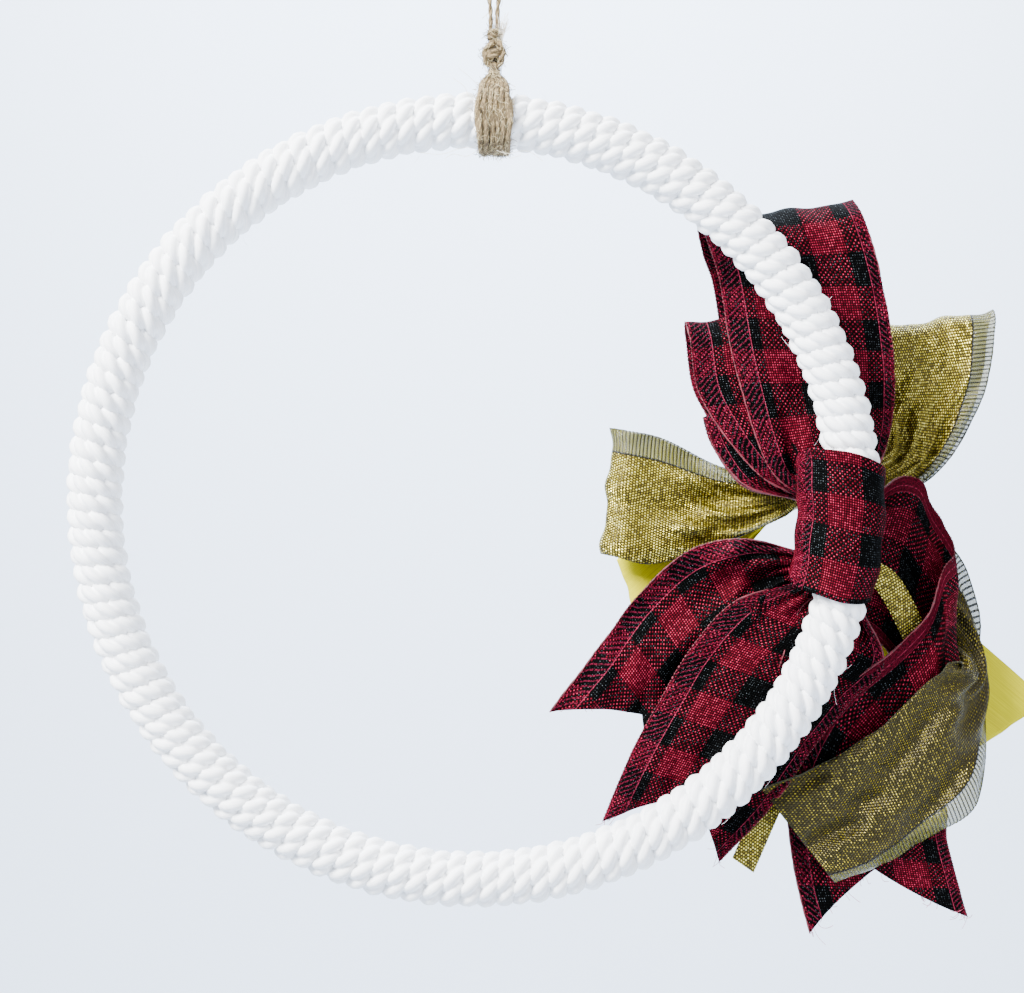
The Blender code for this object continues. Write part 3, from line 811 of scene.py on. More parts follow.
@dataclass
class WoundRing:
    """The hoop, wound closely with soft three-ply cord.

    The winding is uneven by hand: sway shifts the turns, in turns, fat changes the cord's radius, as
    a share of it, and spin turns its plies, in radians.
    """

    turns: int = 134
    cord_radius: float = 4.7
    lay: float = 15.5
    plies: int = 3
    ply_inset: float = 0.44
    samples: int = 28
    sides: int = 24
    sway: tuple[tuple[float, int, float], ...] = ((0.10, 7, 0.6), (0.04, 19, 0.0), (0.02, 37, 2.0))
    fat: tuple[tuple[float, int, float], ...] = ((0.012, 13, 0.0), (0.008, 31, 1.0))
    spin: tuple[tuple[float, int, float], ...] = ((0.2, 11, 0.0), (0.1, 23, 1.0))
    stray_count: int = 46
    stray_radius: float = 0.045

    def points(self) -> tuple[np.ndarray, np.ndarray]:
        """Wind the cord.

        Returns:
            The cord's surface points, in metres, and their places on its map.
        """
        count = self.turns * self.samples
        t = np.linspace(0, 1, count + 1)
        theta = -2 * math.pi * t
        phi = -2 * math.pi * self.turns * t
        theta = theta + waves(theta, self.sway) * 2 * math.pi / self.turns
        fat = 1 + waves(theta, self.fat)
        outward = np.stack([np.cos(theta), 0 * t, np.sin(theta)], axis=-1)
        camera_side = np.array([0.0, -1.0, 0.0])
        away = outward * np.cos(phi)[:, None] + camera_side * np.sin(phi)[:, None]
        wind = TUBE_RADIUS - self.cord_radius
        middle = RING_CENTRE + RING_RADIUS * outward + wind * away
        ahead = unit(np.gradient(middle, axis=0))
        ahead[0] = ahead[-1] = unit(middle[1] - middle[-2])
        first = unit(away - ahead * np.sum(away * ahead, axis=-1, keepdims=True))
        second = np.cross(ahead, first)
        along = lengths_along(middle)
        twist = round(along[-1] / self.lay)
        spin = 2 * math.pi * twist * along / along[-1] + waves(theta, self.spin)
        turn = np.arange(self.sides + 1) * 2 * math.pi / self.sides
        angle = turn[None, :] + spin[:, None]
        plain = ply_outline(self.plies, self.cord_radius, self.sides, self.ply_inset)
        outline = plain[None, :] * fat[:, None]
        surface = (middle[:, None, :] + turn_round(first, second, angle) * outline[..., None]) * MM
        surface[-1] = surface[0]
        round_map = turn * self.cord_radius * MM
        return surface, np.stack(np.broadcast_arrays((along * MM)[:, None], round_map[None, :]), axis=-1)

    def strays(self) -> list[np.ndarray]:
        """Draw the few filaments that stand off the cord."""
        draw = random.Random(4)
        lines = []
        for _ in range(self.stray_count):
            theta = draw.uniform(0, 2 * math.pi)
            phi = draw.choice([draw.uniform(2.4, 3.6), draw.uniform(-0.4, 0.6), draw.uniform(0, 6.28)])
            outward = np.array([math.cos(theta), 0, math.sin(theta)])
            away = outward * math.cos(phi) + np.array([0, -math.sin(phi), 0])
            start = (RING_CENTRE + RING_RADIUS * outward + (TUBE_RADIUS - 1.0) * away) * MM
            along = np.array([-math.sin(theta), 0, math.cos(theta)]) * draw.choice([-1, 1])
            lines.append(wander(start, away * 0.6 + along, draw.uniform(3, 9) * MM, 0.25, draw))
        return lines

    def build(self) -> None:
        """Make the wound cord and its stray filaments."""
        surface, layout = self.points()
        cord = SoftCord().material()
        mesh = grid_mesh("wound_cord", surface, layout, tube=True, joined=True)
        show(mesh, cord, "ring_cord")
        hairs = thread_curve("cord_strays", self.strays(), self.stray_radius * MM)
        show(hairs, DyedThread("cord_filament", "#FFFFFF", "#D5DAE0").material())


def level(number: int) -> float:
    """Give a ribbon's depth behind the ring, by its place in the bundle."""
    return FIRST_PASS + (number - 1) * LEVEL_STEP


def passes(number: int, width: float, lean: float, upward: bool = True) -> list[Rung]:
    """Give a ribbon's straight way through the knot.

    Args:
        number: its place in the bundle, 1 being next to the ring.
        width: the ribbon's width, in millimetres.
        lean: the way from its first edge to its second, in degrees.
        upward: whether it runs up.

    Returns:
        The rungs.
    """
    share = min(1.0, KNOT_WIDTH / width)
    end, inner = PASS_HALF_HEIGHT, PASS_HALF_HEIGHT - 3
    heights = (-end, -inner, inner, end) if upward else (end, inner, -inner, -end)
    return [Rung(0, level(number), z, lean, 0, share, KNOT_PLEAT) for z in heights]


def loop(vias: Sequence[Via], apex: Via) -> list[Rung]:
    """Give a loop's rungs: out at the near depths, over its fold, and back at the far ones.

    Args:
        vias: the places that both layers pass.
        apex: the fold.

    Returns:
        The rungs.
    """
    last = vias[-1]
    out = Vector((apex.x - last.x, apex.z - last.z)).normalized()
    radius = (apex.far - apex.near) / 2
    side = (apex.x - out.x * radius, apex.z - out.y * radius)
    near = [Rung(v.x, v.near, v.z, v.lean, 0, v.share) for v in vias]
    far = [Rung(v.x, v.far, v.z, v.lean, 0, v.share) for v in reversed(vias)]
    middle = (apex.near + apex.far) / 2
    fold = [
        Rung(side[0], apex.near, side[1], apex.lean, 0, apex.share),
        Rung(apex.x, middle, apex.z, apex.lean, 0, apex.share),
        Rung(side[0], apex.far, side[1], apex.lean, 0, apex.share),
    ]
    return near + fold + far


@dataclass
class Ribbon:
    """A length of ribbon laid through its rungs, with its gathers, edges and cut ends.

    Lengths are in millimetres. curled is the share of the width that a rung's curl bends back, and
    clearance the depth behind the ring within which gathers stand only away from it.
    """

    name: str
    node: str
    slot: Slot
    width: float
    rungs: list[Rung]
    wall: float
    columns: int
    held: Held
    edge: Edge = Edge.PLAIN
    notches: tuple[bool, bool] = (False, False)
    softness: float = 0.5
    wave_seed: float = 0.0
    step: float = 1.6
    notch: float = 22.0
    fineness: float = 1.0
    curled: float = 0.2
    clearance: float = 5.5
    hem_radius: float = 0.42
    wire_radius: float = 0.32
    wire_lay: float = 2.4

    def rows(self) -> np.ndarray:
        """Give the smooth rows through the rungs: middle, half width, share, pleat and curl."""
        rows = []
        for rung in self.rungs:
            lean, tilt = math.radians(rung.lean), math.radians(rung.tilt)
            half = rung.share * self.width / 2
            flat = half * math.cos(tilt)
            middle = [KNOT[0] + rung.x, TUBE_RADIUS + rung.back, KNOT[2] + rung.z]
            side = [flat * math.cos(lean), half * math.sin(tilt), flat * math.sin(lean)]
            rows.append(middle + side + [rung.share, rung.pleat, rung.curl])
        return smooth_rows(np.array(rows), self.step)

    def places(self, along: np.ndarray) -> np.ndarray:
        """Give how far along the ribbon each point lies, with the notches cut.

        Args:
            along: the rows' own distances, in millimetres.

        Returns:
            The distances, by row and column.
        """
        across = np.abs(np.linspace(-1, 1, self.columns + 1))
        depth = self.notch * (1 - across)[None, :]
        places = np.repeat(along[:, None], self.columns + 1, axis=1)
        reach = 2 * self.notch
        if self.notches[0]:
            places = places + depth * np.clip(1 - places / reach, 0, 1)
        if self.notches[1]:
            places = places - depth * np.clip(1 - (along[-1] - places) / reach, 0, 1)
        return places

    def gathers(self, places: np.ndarray, across: np.ndarray, spread: np.ndarray) -> np.ndarray:
        """Give the gathers' height at each point: many small pleats at the knot, a few soft ones outside.

        Args:
            places: the distances along, in millimetres.
            across: each point's place across, from 0 to 1.
            spread: how much of the width is spread out there.

        Returns:
            The heights, in millimetres.
        """
        seed, turn = self.wave_seed, 2 * math.pi
        fine = np.interp(spread, SPREAD, FINE_GATHER) * self.fineness
        middle = np.interp(spread, SPREAD, MIDDLE_GATHER) * self.softness
        broad = np.interp(spread, SPREAD, BROAD_GATHER) * self.softness
        ripple = np.abs(2 * across - 1) ** 6 * np.sin(turn * (places / 17 + across * 3 + seed))
        return (
            fine * np.sin(turn * (7.6 * across + 0.25 * np.sin(places / 6) + seed))
            + middle * np.sin(turn * (4.3 * across - places / 61 + 2 * seed + 0.3 * np.sin(places / 9)))
            + broad * np.sin(turn * (2.1 * across + places / 83 + seed))
            + 0.5 * self.softness * ripple
        )

    def surface(self) -> tuple[np.ndarray, np.ndarray]:
        """Work out the cloth.

        Returns:
            The points in metres, and their places on the flat ribbon in metres.
        """
        rows = self.rows()
        along = lengths_along(rows[:, :3])
        places = self.places(along)
        spots = np.stack([np.interp(places, along, rows[:, k]) for k in range(rows.shape[1])], axis=-1)
        across = np.broadcast_to(np.linspace(0, 1, self.columns + 1)[None, :], places.shape)
        # The second edge's last part bends back in an arc of the same length.
        turn = np.radians(np.maximum(spots[..., 8], 0.5))
        past = np.clip(across - (1 - self.curled), 0, self.curled)
        arc = self.curled / turn
        flat_share = np.minimum(across, 1 - self.curled) + arc * np.sin(past / arc)
        behind = 2 * arc * (1 - np.cos(past / arc)) * np.linalg.norm(spots[..., 3:6], axis=-1)
        points = spots[..., :3] + spots[..., 3:6] * (2 * flat_share - 1)[..., None]
        points[..., 1] += behind
        normal = unit(np.cross(np.gradient(points, axis=0), spots[..., 3:6]))
        height = self.gathers(places, across, spots[..., 6]) * spots[..., 7]
        points = points + normal * height[..., None]
        # Next to the ring the gathers have room only on the side away from it.
        close = np.clip((self.clearance - (spots[..., 1] - TUBE_RADIUS)) / 3.5, 0, 1)
        points[..., 1] += close * np.abs(height) * 0.9
        layout = np.stack([places, across * self.width], axis=-1)
        return points * MM, layout * MM

    def build(self, finish: bpy.types.Material) -> bpy.types.Object:
        """Make the ribbon as a sheet with a wall.

        Args:
            finish: its material.

        Returns:
            The piece.
        """
        points, layout = self.surface()
        piece = show(grid_mesh(self.name, points, layout), finish, self.node)
        give_wall(piece, self.wall)
        trims = self.wires(points)
        return piece

    def wires(self, points: np.ndarray) -> list[bpy.types.Object]:
        """Make the wired edges.

        Args:
            points: the cloth's points.

        Returns:
            The pieces.
        """
        if self.edge is Edge.PLAIN:
            return []
        if self.edge is Edge.WIRED:
            finish, radius = DyedThread("crimson_hem_cover", "#6E0E22", "#2E0610"), self.hem_radius
        else:
            finish, radius = DyedThread("olive_edge_wire", "#34351A", "#0A0C05", 0.3), self.wire_radius
        material = finish.material()
        lay = self.wire_lay * MM
        made = []
        for end, side in ((0, "first"), (-1, "second")):
            mesh = twine_mesh(f"{self.name}_{side}_wire", points[:, end], radius * MM, 2, lay, 8)
            made.append(show(mesh, material))
        return made


LONG_PLAID = [
    Rung(-67, 4.3, -120, 161, 0, 0.74),
    Rung(-51, 3.3, -96, 161, 0, 0.91),
    Rung(-38, 2.5, -75, 162, 0, 0.96),
    Rung(-25, 2.2, -56, 160, 0, 1.0),
    Rung(-10, 1.9, -39, 158, 0, 0.95),
    Rung(-4, 1.8, -22, 168, 0, 0.34),
    *passes(1, 63.5, 180),
    *loop(
        [
            Via(-1, 14, 187, 0.42, 1.8, 10.3),
            Via(-3, 26, 192, 0.70, 2.2, 13.6),
            Via(-8, 60, 180, 0.95, 2.3, 22.4),
            Via(-14, 96, 181, 0.97, 2.6, 23.2),
        ],
        Via(-22, 122, 188, 0.95, 2.6, 23.4),
    ),
    *passes(8, 63.5, 180, False),
]

MIDDLE_PLAID = [
    Rung(-90, 7.3, -87, 140, -9, 0.82, 2.0),
    Rung(-73, 8.8, -72, 128, -3, 0.95, 2.0),
    Rung(-57, 7.8, -51, 124, -1, 0.98, 2.5),
    Rung(-40, 6.3, -35, 119, 0, 0.96, 3.0),
    Rung(-26, 4.6, -24, 112, 0, 0.66, 2.0),
    Rung(-13, 3.5, -19, 98, 0, 0.31),
    Rung(-4, 3.0, -15, 140, 0, 0.27),
    *passes(2, 63.5, 180),
    *loop(
        [
            Via(-3, 14, 187, 0.40, 3.1, 9.1),
            Via(-7, 23, 193, 0.66, 4.2, 11.1),
            Via(-20, 52, 185, 0.98, 6.0, 18.8),
        ],
        Via(-26, 84, 190, 0.98, 6.4, 19.4),
    ),
    *passes(7, 63.5, 180, False),
]

SHORT_PLAID = [
    *passes(3, 63.5, 0),
    *loop(
        [
            Via(-4, 14, 12, 0.42, 4.6, 7.9),
            Via(-10, 22, 16, 0.76, 5.9, 9.4),
            Via(-17, 36, 11, 0.92, 7.8, 12.4),
        ],
        Via(-21, 48, 11, 0.93, 8.0, 13.0),
    ),
    *passes(6, 63.5, 0, False),
    Rung(4, 7.8, -15, 45, 0, 0.27),
    Rung(10, 9.0, -12, 80, 0, 0.62, 0.7),
    Rung(17, 10.0, -10, 76, 0, 0.92, 1.4),
    Rung(25, 11.0, -12, 74, 0, 1.0, 2.2),
    Rung(33, 12.6, -22, 79, 0, 1.0, 2.4),
    Rung(42, 13.8, -32, 86, 0, 1.0, 2.0),
    Rung(48, 10.0, -42, 91, -2, 1.0),
    Rung(43, 5.2, -47, 92, -2, 1.0),
    Rung(41, 6.2, -62, 100, -6, 0.96, 2.0),
    Rung(34, 7.8, -73, 112, -10, 0.94, 1.6),
    Rung(26, 8.6, -82, 127, -11, 0.98),
    Rung(19, 9.2, -93, 143, -5, 1.0),
    Rung(14, 11.8, -111, 163, -1, 1.0),
    Rung(17, 12.4, -134, 176, -2, 1.0),
    Rung(22, 12.4, -154, 185, -4, 0.98),
]

LEFT_GOLD = [
    Rung(-13, 2.3, -120, -52, 2, 1.0, 1.6, 95),
    Rung(6, 2.7, -113, -60, 4, 1.0, 1.6, 90),
    Rung(27, 4.2, -99, -64, 8, 1.0, 1.2, 60),
    Rung(44, 4.4, -83, -63, 7, 1.0, 1.0, 10),
    Rung(54, 13.0, -64, -47, 42, 0.82),
    Rung(57.3, 16.4, -57.5, -20, 56, 0.62),
    Rung(57, 20.5, -50, 20, 56, 0.58),
    Rung(51, 23.6, -36, 68, 20, 0.66),
    Rung(40, 21.2, -28, 73, 5, 0.92),
    Rung(27, 17.0, -20, 76, 1, 0.88, 0.7),
    Rung(12, 13.0, -19, 58, 0, 0.38, 0.5),
    *passes(9, 50.8, 0),
    *loop(
        [
            Via(-7, 14, 50, 0.28, 12.5, 13.7),
            Via(-17, 11, 88, 0.27, 18.8, 21.8),
            Via(-43, 8, 86, 0.62, 24.6, 34.6),
            Via(-67, 10, 85, 0.98, 25.0, 36.2),
        ],
        Via(-86, 14, 85, 0.98, 25.0, 36.0),
    ),
    *passes(10, 50.8, 0, False),
]

RIGHT_GOLD = [
    *passes(11, 50.8, 0),
    *loop(
        [
            Via(8, 14, -40, 0.31, 15.5, 17.0),
            Via(24, 19, -40, 0.36, 22.4, 26.4),
            Via(35, 27, -18, 0.46, 25.8, 32.5),
            Via(42, 51, 2, 0.82, 27.2, 36.8),
        ],
        Via(43, 82, 9, 0.99, 27.4, 37.4),
    ),
    *passes(12, 50.8, 0, False),
]

NARROW_GOLD = [
    Rung(40, 7.9, -60, 24, 0, 1),
    Rung(31, 7.2, -41, 32, 0, 1),
    Rung(19, 6.4, -20, 31, 0, 1),
    Rung(7, 5.6, -13, 20, 0, 1),
    *passes(4, 10.0, 0),
    Rung(0, (level(4) + level(5)) / 2, PASS_HALF_HEIGHT + 4, 0, 0, 1),
    *passes(5, 10.0, 0, False),
    Rung(-1, 7.0, -36, 0, 0, 1),
    Rung(-6, 7.6, -66, -9, 0, 1),
    Rung(-20, 8.6, -96, -23, 0, 1),
    Rung(-35, 7.6, -130, -35, 0, 1),
]

SATIN = [
    Rung(77, 40.4, -81, 34, 0, 0.96),
    Rung(58, 38.5, -66, 42, 0, 1.0),
    Rung(38, 34.0, -48, 46, 0, 0.9),
    Rung(20, 22.0, -30, 52, 0, 0.55),
    Rung(7, 16.5, -16, 35, 0, 0.44),
    *passes(13, 38.1, 0),
    *loop(
        [
            Via(-6, 14, 45, 0.42, 20.6, 22.6),
            Via(-17, 15, 95, 0.40, 27.0, 31.0),
            Via(-31, 6, 110, 0.62, 35.0, 40.0),
            Via(-50, -10, 112, 0.95, 39.0, 46.0),
        ],
        Via(-75, -32, 108, 1.0, 40.4, 50.0),
    ),
    *passes(14, 38.1, 0, False),
    *loop(
        [
            Via(5, -15, 45, 0.42, 18.2, 20.0),
            Via(13, -17, 88, 0.42, 23.0, 27.0),
            Via(26, -13, 92, 0.72, 34.4, 40.8),
        ],
        Via(44, -12, 86, 0.98, 38.8, 47.6),
    ),
    *passes(15, 38.1, 0),
]


@dataclass
class Bow:
    """The seven ribbons of the bow."""

    plaid_width: float = 63.5
    gold_width: float = 50.8
    narrow_width: float = 10.0
    satin_width: float = 38.1

    def plaid(
        self, name: str, rungs: list[Rung], notches: tuple[bool, bool], softness: float, seed: float
    ) -> Ribbon:
        """Describe one plaid ribbon.

        Args:
            name: its name, and its node's.
            rungs: its way.
            notches: which of its ends are notched.
            softness: how deep its gathers are.
            seed: where its gathers start.

        Returns:
            The ribbon.
        """
        return Ribbon(
            name=f"{name}_cloth",
            node=name,
            slot=Slot.PLAID,
            width=self.plaid_width,
            rungs=rungs,
            wall=0.35,
            columns=60,
            held=Held.GATHERED,
            edge=Edge.WIRED,
            notches=notches,
            softness=softness,
            wave_seed=seed,
        )

    def gold(self, side: str, rungs: list[Rung]) -> Ribbon:
        """Describe one wide gold mesh ribbon.

        Args:
            side: the side that its loop lies on.
            rungs: its way.

        Returns:
            The ribbon.
        """
        return Ribbon(
            name=f"gold_{side}_mesh",
            node=f"gold_ribbon_{side}",
            slot=Slot.GOLD,
            width=self.gold_width,
            rungs=rungs,
            wall=0.3,
            columns=50,
            held=Held.GATHERED,
            edge=Edge.SHEER,
            softness=0.8,
            fineness=0.6,
        )

    def fringe(self, ribbon: Ribbon, at_start: bool, count: int, longest: float) -> None:
        """Fray a cut end.

        Args:
            ribbon: the ribbon's description.
            at_start: whether the frayed end is the first.
            count: how many threads hang out.
            longest: the longest thread, in metres.
        """
        draw = random.Random(count)
        points, _ = ribbon.surface()
        end, inner = (points[0], points[3]) if at_start else (points[-1], points[-4])
        lines = []
        for _ in range(count):
            spot = draw.choice([draw.random() ** 2 * 0.3, 1 - draw.random() ** 2 * 0.3, draw.random()])
            low = min(int(spot * ribbon.columns), ribbon.columns - 1)
            astray = np.array([draw.uniform(-0.7, 0.7), draw.uniform(-0.2, 0.2), -0.3])
            way = unit(end[low] - inner[low]) + astray
            lines.append(wander(end[low], way, draw.uniform(0.2, 1.0) * longest, 0.45, draw))
        curve = thread_curve(f"{ribbon.name}_fray", lines, 0.1 * MM)
        show(curve, DyedThread("frayed_crimson_yarn", "#B8506A", "#5E0E20").material())

    def build(self) -> None:
        """Make the seven ribbons."""
        cloth = WovenPlaid().material()
        long = self.plaid("plaid_ribbon_long", LONG_PLAID, (True, False), 0.5, 0.1)
        middle = self.plaid("plaid_ribbon_middle", MIDDLE_PLAID, (True, False), 0.6, 0.35)
        short = self.plaid("plaid_ribbon_short", SHORT_PLAID, (False, True), 0.55, 0.7)
        long.build(cloth)
        middle.build(cloth)
        turned = WovenPlaid("woven_plaid_turned_hems", second_hem=0.0062, rolled=(0.128, 0.262))
        short.build(turned.material())
        self.fringe(long, True, 16, 6 * MM)
        self.fringe(middle, True, 6, 1.8 * MM)
        self.fringe(short, False, 30, 9 * MM)
        gold_width = self.gold_width * MM
        # The left loop's tail is darkened: partly its duller back, partly painted shade.
        dull_shaded_back_lame = GoldLame("gold_lame_with_dull_shaded_back", gold_width, dull_shaded_until=0.128)
        self.gold("left", LEFT_GOLD).build(dull_shaded_back_lame.material())
        self.gold("right", RIGHT_GOLD).build(GoldLame("gold_lame", gold_width).material())
        narrow = Ribbon(
            name="gold_narrow_mesh",
            node="gold_ribbon_narrow",
            slot=Slot.GOLD,
            width=self.narrow_width,
            rungs=NARROW_GOLD,
            wall=0.25,
            columns=8,
            held=Held.FOLDED,
            softness=0.1,
        )
        narrow.build(GoldLame("narrow_gold_lame", self.narrow_width * MM, sheer=0.0).material())
        satin = Ribbon(
            name="satin_cloth",
            node="satin_ribbon",
            slot=Slot.SATIN,
            width=self.satin_width,
            rungs=SATIN,
            wall=0.3,
            columns=40,
            held=Held.GATHERED,
            softness=0.4,
        )
        satin.build(SatinWeave().material())


@dataclass
class TieBand:
    """The plaid band that holds the bow to the ring, close in front and narrow behind.

    Lengths are in millimetres and area is in square metres; area is not used. front and back are its
    widths there, slack is how far it stands off the ring's inner side, gap its distance from the ring
    and the ribbons, and rise how many degrees it leans. pattern_along and pattern_around place the check.
    """

    front: float = 55.0
    back: float = 12.0
    slack: float = 9.0
    rise: float = 13.0
    columns: int = 40
    wall: float = 0.35
    gap: float = 0.95
    area: float = 0.0045
    pattern_along: float = 22.7
    pattern_around: float = 22.5

    def ring_side(self) -> float:
        """Give how far to the right of its centre the ring passes, at the knot's height."""
        return math.sqrt(RING_RADIUS**2 - KNOT_DROP**2)

    def rows(self) -> np.ndarray:
        """Give the band's smooth rows, in millimetres."""
        ring_x = RING_CENTRE[0] + self.ring_side()
        hug = TUBE_RADIUS + self.gap - 0.15
        bundle = KNOT_WIDTH / 2 + self.gap + 0.91
        deepest = TUBE_RADIUS + level(15) + 0.25 + self.gap + 0.7
        start = TUBE_RADIUS + FIRST_PASS
        front, back = self.front / 2, self.back / 2
        middle = (start + deepest) / 2
        left = KNOT[0] - bundle - 1.0
        stations = [
            (ring_x, -hug - 0.5, front),
            (ring_x + hug * 0.76, -hug * 0.76, front * 0.94),
            (ring_x + hug + 0.8, 0.0, front * 0.84),
            (ring_x + hug * 0.80, hug * 0.72, front * 0.55),
            (KNOT[0] + bundle + 1.6, start + 1.0, back),
            (KNOT[0] + bundle, middle, back),
            (KNOT[0] + bundle, deepest - 2.2, back),
            (KNOT[0] + bundle - 2.2, deepest, back),
            (KNOT[0] - bundle + 2.2, deepest, back),
            (KNOT[0] - bundle, deepest - 2.2, back),
            (KNOT[0] - bundle, middle, back),
            (left, start, back),
            (ring_x - hug - self.slack, start * 0.45, front * 0.72),
            (ring_x - hug - self.slack * 0.8, -TUBE_RADIUS * 0.3, front * 0.92),
            (ring_x - hug * 0.85, -hug * 0.92, front * 0.98),
        ]
        rows = []
        for x, y, half in stations:
            slope = math.tan(math.radians(self.rise)) * (half - back) / (front - back)
            gather = np.interp(half, (back, front), (0.15, 1.1))
            rows.append([x, y, KNOT[2] + slope * (ring_x - x), 0, 0, half, gather])
        return smooth_rows(np.array(rows), 1.0, closed=True)

    def build(self, finish: bpy.types.Material) -> None:
        """Make the band.

        Args:
            finish: its material.
        """
        rows = self.rows()
        along = lengths_along(rows[:, :3])
        share = np.linspace(0, 1, self.columns + 1)
        points = rows[:, None, :3] + rows[:, None, 3:6] * (2 * share - 1)[None, :, None]
        height = points[..., 2] - RING_CENTRE[2]
        points[..., 0] += np.sqrt(RING_RADIUS**2 - height**2) - self.ring_side()
        normal = unit(np.cross(np.gradient(points, axis=0), rows[:, None, 3:6]))
        ripple = np.sin(2 * math.pi * (2.6 * share[None, :] + along[:, None] / along[-1]))
        points = points - normal * (0.5 + 0.5 * ripple[..., None]) * rows[:, None, 6:7]
        points[-1] = points[0]
        # The cloth's own length runs upward here, so its stripes lie side by side round the ring.
        around = np.where(along < along[-1] / 2, along, along - along[-1]) + self.pattern_around
        upward = share * self.front + self.pattern_along
        layout = np.stack(np.broadcast_arrays(upward[None, :], around[:, None]), axis=-1)
        mesh = grid_mesh("tie_band_cloth", points * MM, layout * MM, joined=True)
        piece = show(mesh, finish, "tie_band")
        give_wall(piece, self.wall)


@dataclass
class Hanger:
    """The jute hanger: turns round the ring drawn into a neck, two knots, a frayed end and a loop.

    Lengths are in millimetres. leg and bend are half the loop's width at its stems and its widest,
    and strand_radii are those of the knots' strands, in the order of their paths.
    """

    twine: float = 1.9
    leg: float = 1.25
    bend: float = 4.4
    turn_lay: float = 34.0
    strand_lay: float = 8.0
    turn_fibres: int = 430
    strand_fibres: int = 60
    loop_fibres: int = 90
    frayed_fibres: int = 60
    fibre_radius: float = 0.085
    stray_radius: float = 0.07
    strand_radii: tuple[float, ...] = (1.5, 1.1, 1.35, 1.35, 0.95, 0.95)
    strands: int = 6
    wrap_width: float = 14.6
    neck_width: float = 5.0
    loop_bottom: float = -26.0
    neck_top: float = -40.0

    def wrap_paths(self) -> list[np.ndarray]:
        """Give the turns round the ring, each from the lower knot round and back to it."""
        middle = RING_CENTRE[2] + math.sqrt(RING_RADIUS**2 - RING_CENTRE[0] ** 2)
        around = TUBE_RADIUS + 0.9
        neck = middle + TUBE_RADIUS + 9.0
        paths = []
        draw = random.Random(11)
        for i in range(self.strands):
            side = 2 * i / (self.strands - 1) - 1
            narrow = side * (self.neck_width - 2 * self.twine) / 2
            wide = side * (self.wrap_width - 1.8 * self.twine) / 2
            jitter = draw.uniform(-0.5, 0.5)
            half = [
                (narrow * 0.6, 0.4, self.neck_top),
                (narrow, 1.0, neck - 1.0),
                (narrow * 1.5, 2.4, neck - 3.4),
                (wide * 0.62, 4.6, neck - 6.2),
                (wide * 0.92, around * 0.80, middle + around * 0.62),
                (wide + jitter, around, middle + 1.0),
                (wide * 0.90 + jitter, around * 0.74, middle - around * 0.70),
            ]
            bottom = (wide * 0.75 + jitter, 0.0, middle - around)
            outline = [(x, -y, z) for x, y, z in half] + [bottom] + [(x, y, z) for x, y, z in reversed(half)]
            paths.append(smooth_rows(np.array(outline) * MM, 0.9 * MM))
        return paths

    def knot_paths(self) -> list[np.ndarray]:
        """Give the twine of the two knots, and the stems that join them to the loop."""
        t = np.linspace(0, 1, 64)
        angle = 2 * math.pi * (1.7 * t + 0.1)
        height = -36.9 + 1.9 * np.sin(angle + 0.9) + 2.2 * t
        winding = np.stack([2.9 * np.cos(angle), 2.4 * np.sin(angle), height], axis=-1)
        upper_angle = 2 * math.pi * (1.5 * t + 0.35)
        upper = np.stack([1.7 * np.cos(upper_angle), 1.5 * np.sin(upper_angle), -30.2 + 2.4 * t], axis=-1)
        left = [(-1.2, -0.6, -41.0), (-3.0, -1.6, -38.8), (-3.3, -1.8, -36.0), (-2.0, -1.4, -33.8)]
        right = [(1.2, -0.6, -41.0), (2.7, -1.9, -39.0), (3.2, -1.9, -36.4), (2.4, -1.5, -33.4)]
        laid = [left + [(0.2, -0.6, -32.0)], right + [(0.8, -0.5, -31.0)]]
        for x in (-self.leg, self.leg):
            laid.append([(x * 0.5, 0.0, -39.0), (x, 0.3, -33.0), (x, 0.2, -29.0), (x, 0.0, -25.6)])
        return [winding * MM, upper * MM] + [smooth_rows(np.array(way) * MM, 0.6 * MM) for way in laid]

    def loop_path(self) -> np.ndarray:
        """Give the loop's centreline, as the CAD cord runs."""
        bottom, top, bend, leg = self.loop_bottom, self.twine / 2, self.bend, self.leg
        half = [
            (leg, bottom),
            (leg, bottom * 0.86),
            (leg + (bend - leg) * 0.10, bottom * 0.66),
            (leg + (bend - leg) * 0.52, bottom * 0.45),
            (bend * 0.98, bottom * 0.26),
            (bend * 0.86, top - bend * 0.52),
            (bend * 0.5, top - bend * 0.14),
        ]
        outline = [(-x, z) for x, z in half] + [(0, top)] + [(x, z) for x, z in reversed(half)]
        return smooth_rows(np.array([[x, 0, z] for x, z in outline]) * MM, 0.8 * MM)

    def build_loop(self, finish: bpy.types.Material) -> None:
        """Make the loop, which is a cord.

        Args:
            finish: the jute.
        """
        path = self.loop_path()
        mesh = twine_mesh("hanger_loop_twine", path, self.twine / 2 * MM, 2, self.strand_lay * MM, 14)
        piece = show(mesh, finish, "hanger_loop")

    def felt(self, path: np.ndarray, radius: float, count: int, draw: random.Random) -> list[np.ndarray]:
        """Lay loose fibres over one strand, so that it looks spun and matted.

        Args:
            path: the strand's path.
            radius: its radius, in metres.
            count: how many fibres.
            draw: the source of chance.

        Returns:
            The fibres.
        """
        lines = []
        for _ in range(count):
            at = draw.randrange(2, len(path) - 2)
            ahead = unit(path[at + 1] - path[at - 1])
            out = unit(np.cross(ahead, np.array([draw.uniform(-1, 1) for _ in range(3)])))
            across = np.cross(ahead, out)
            way = ahead * draw.choice([-1, 1]) + across * draw.uniform(-0.9, 0.9)
            way = way + out * draw.uniform(-0.05, 0.22)
            lines.append(wander(path[at] + out * radius, way, draw.uniform(1.5, 4.0) * MM, 0.16, draw))
        return lines

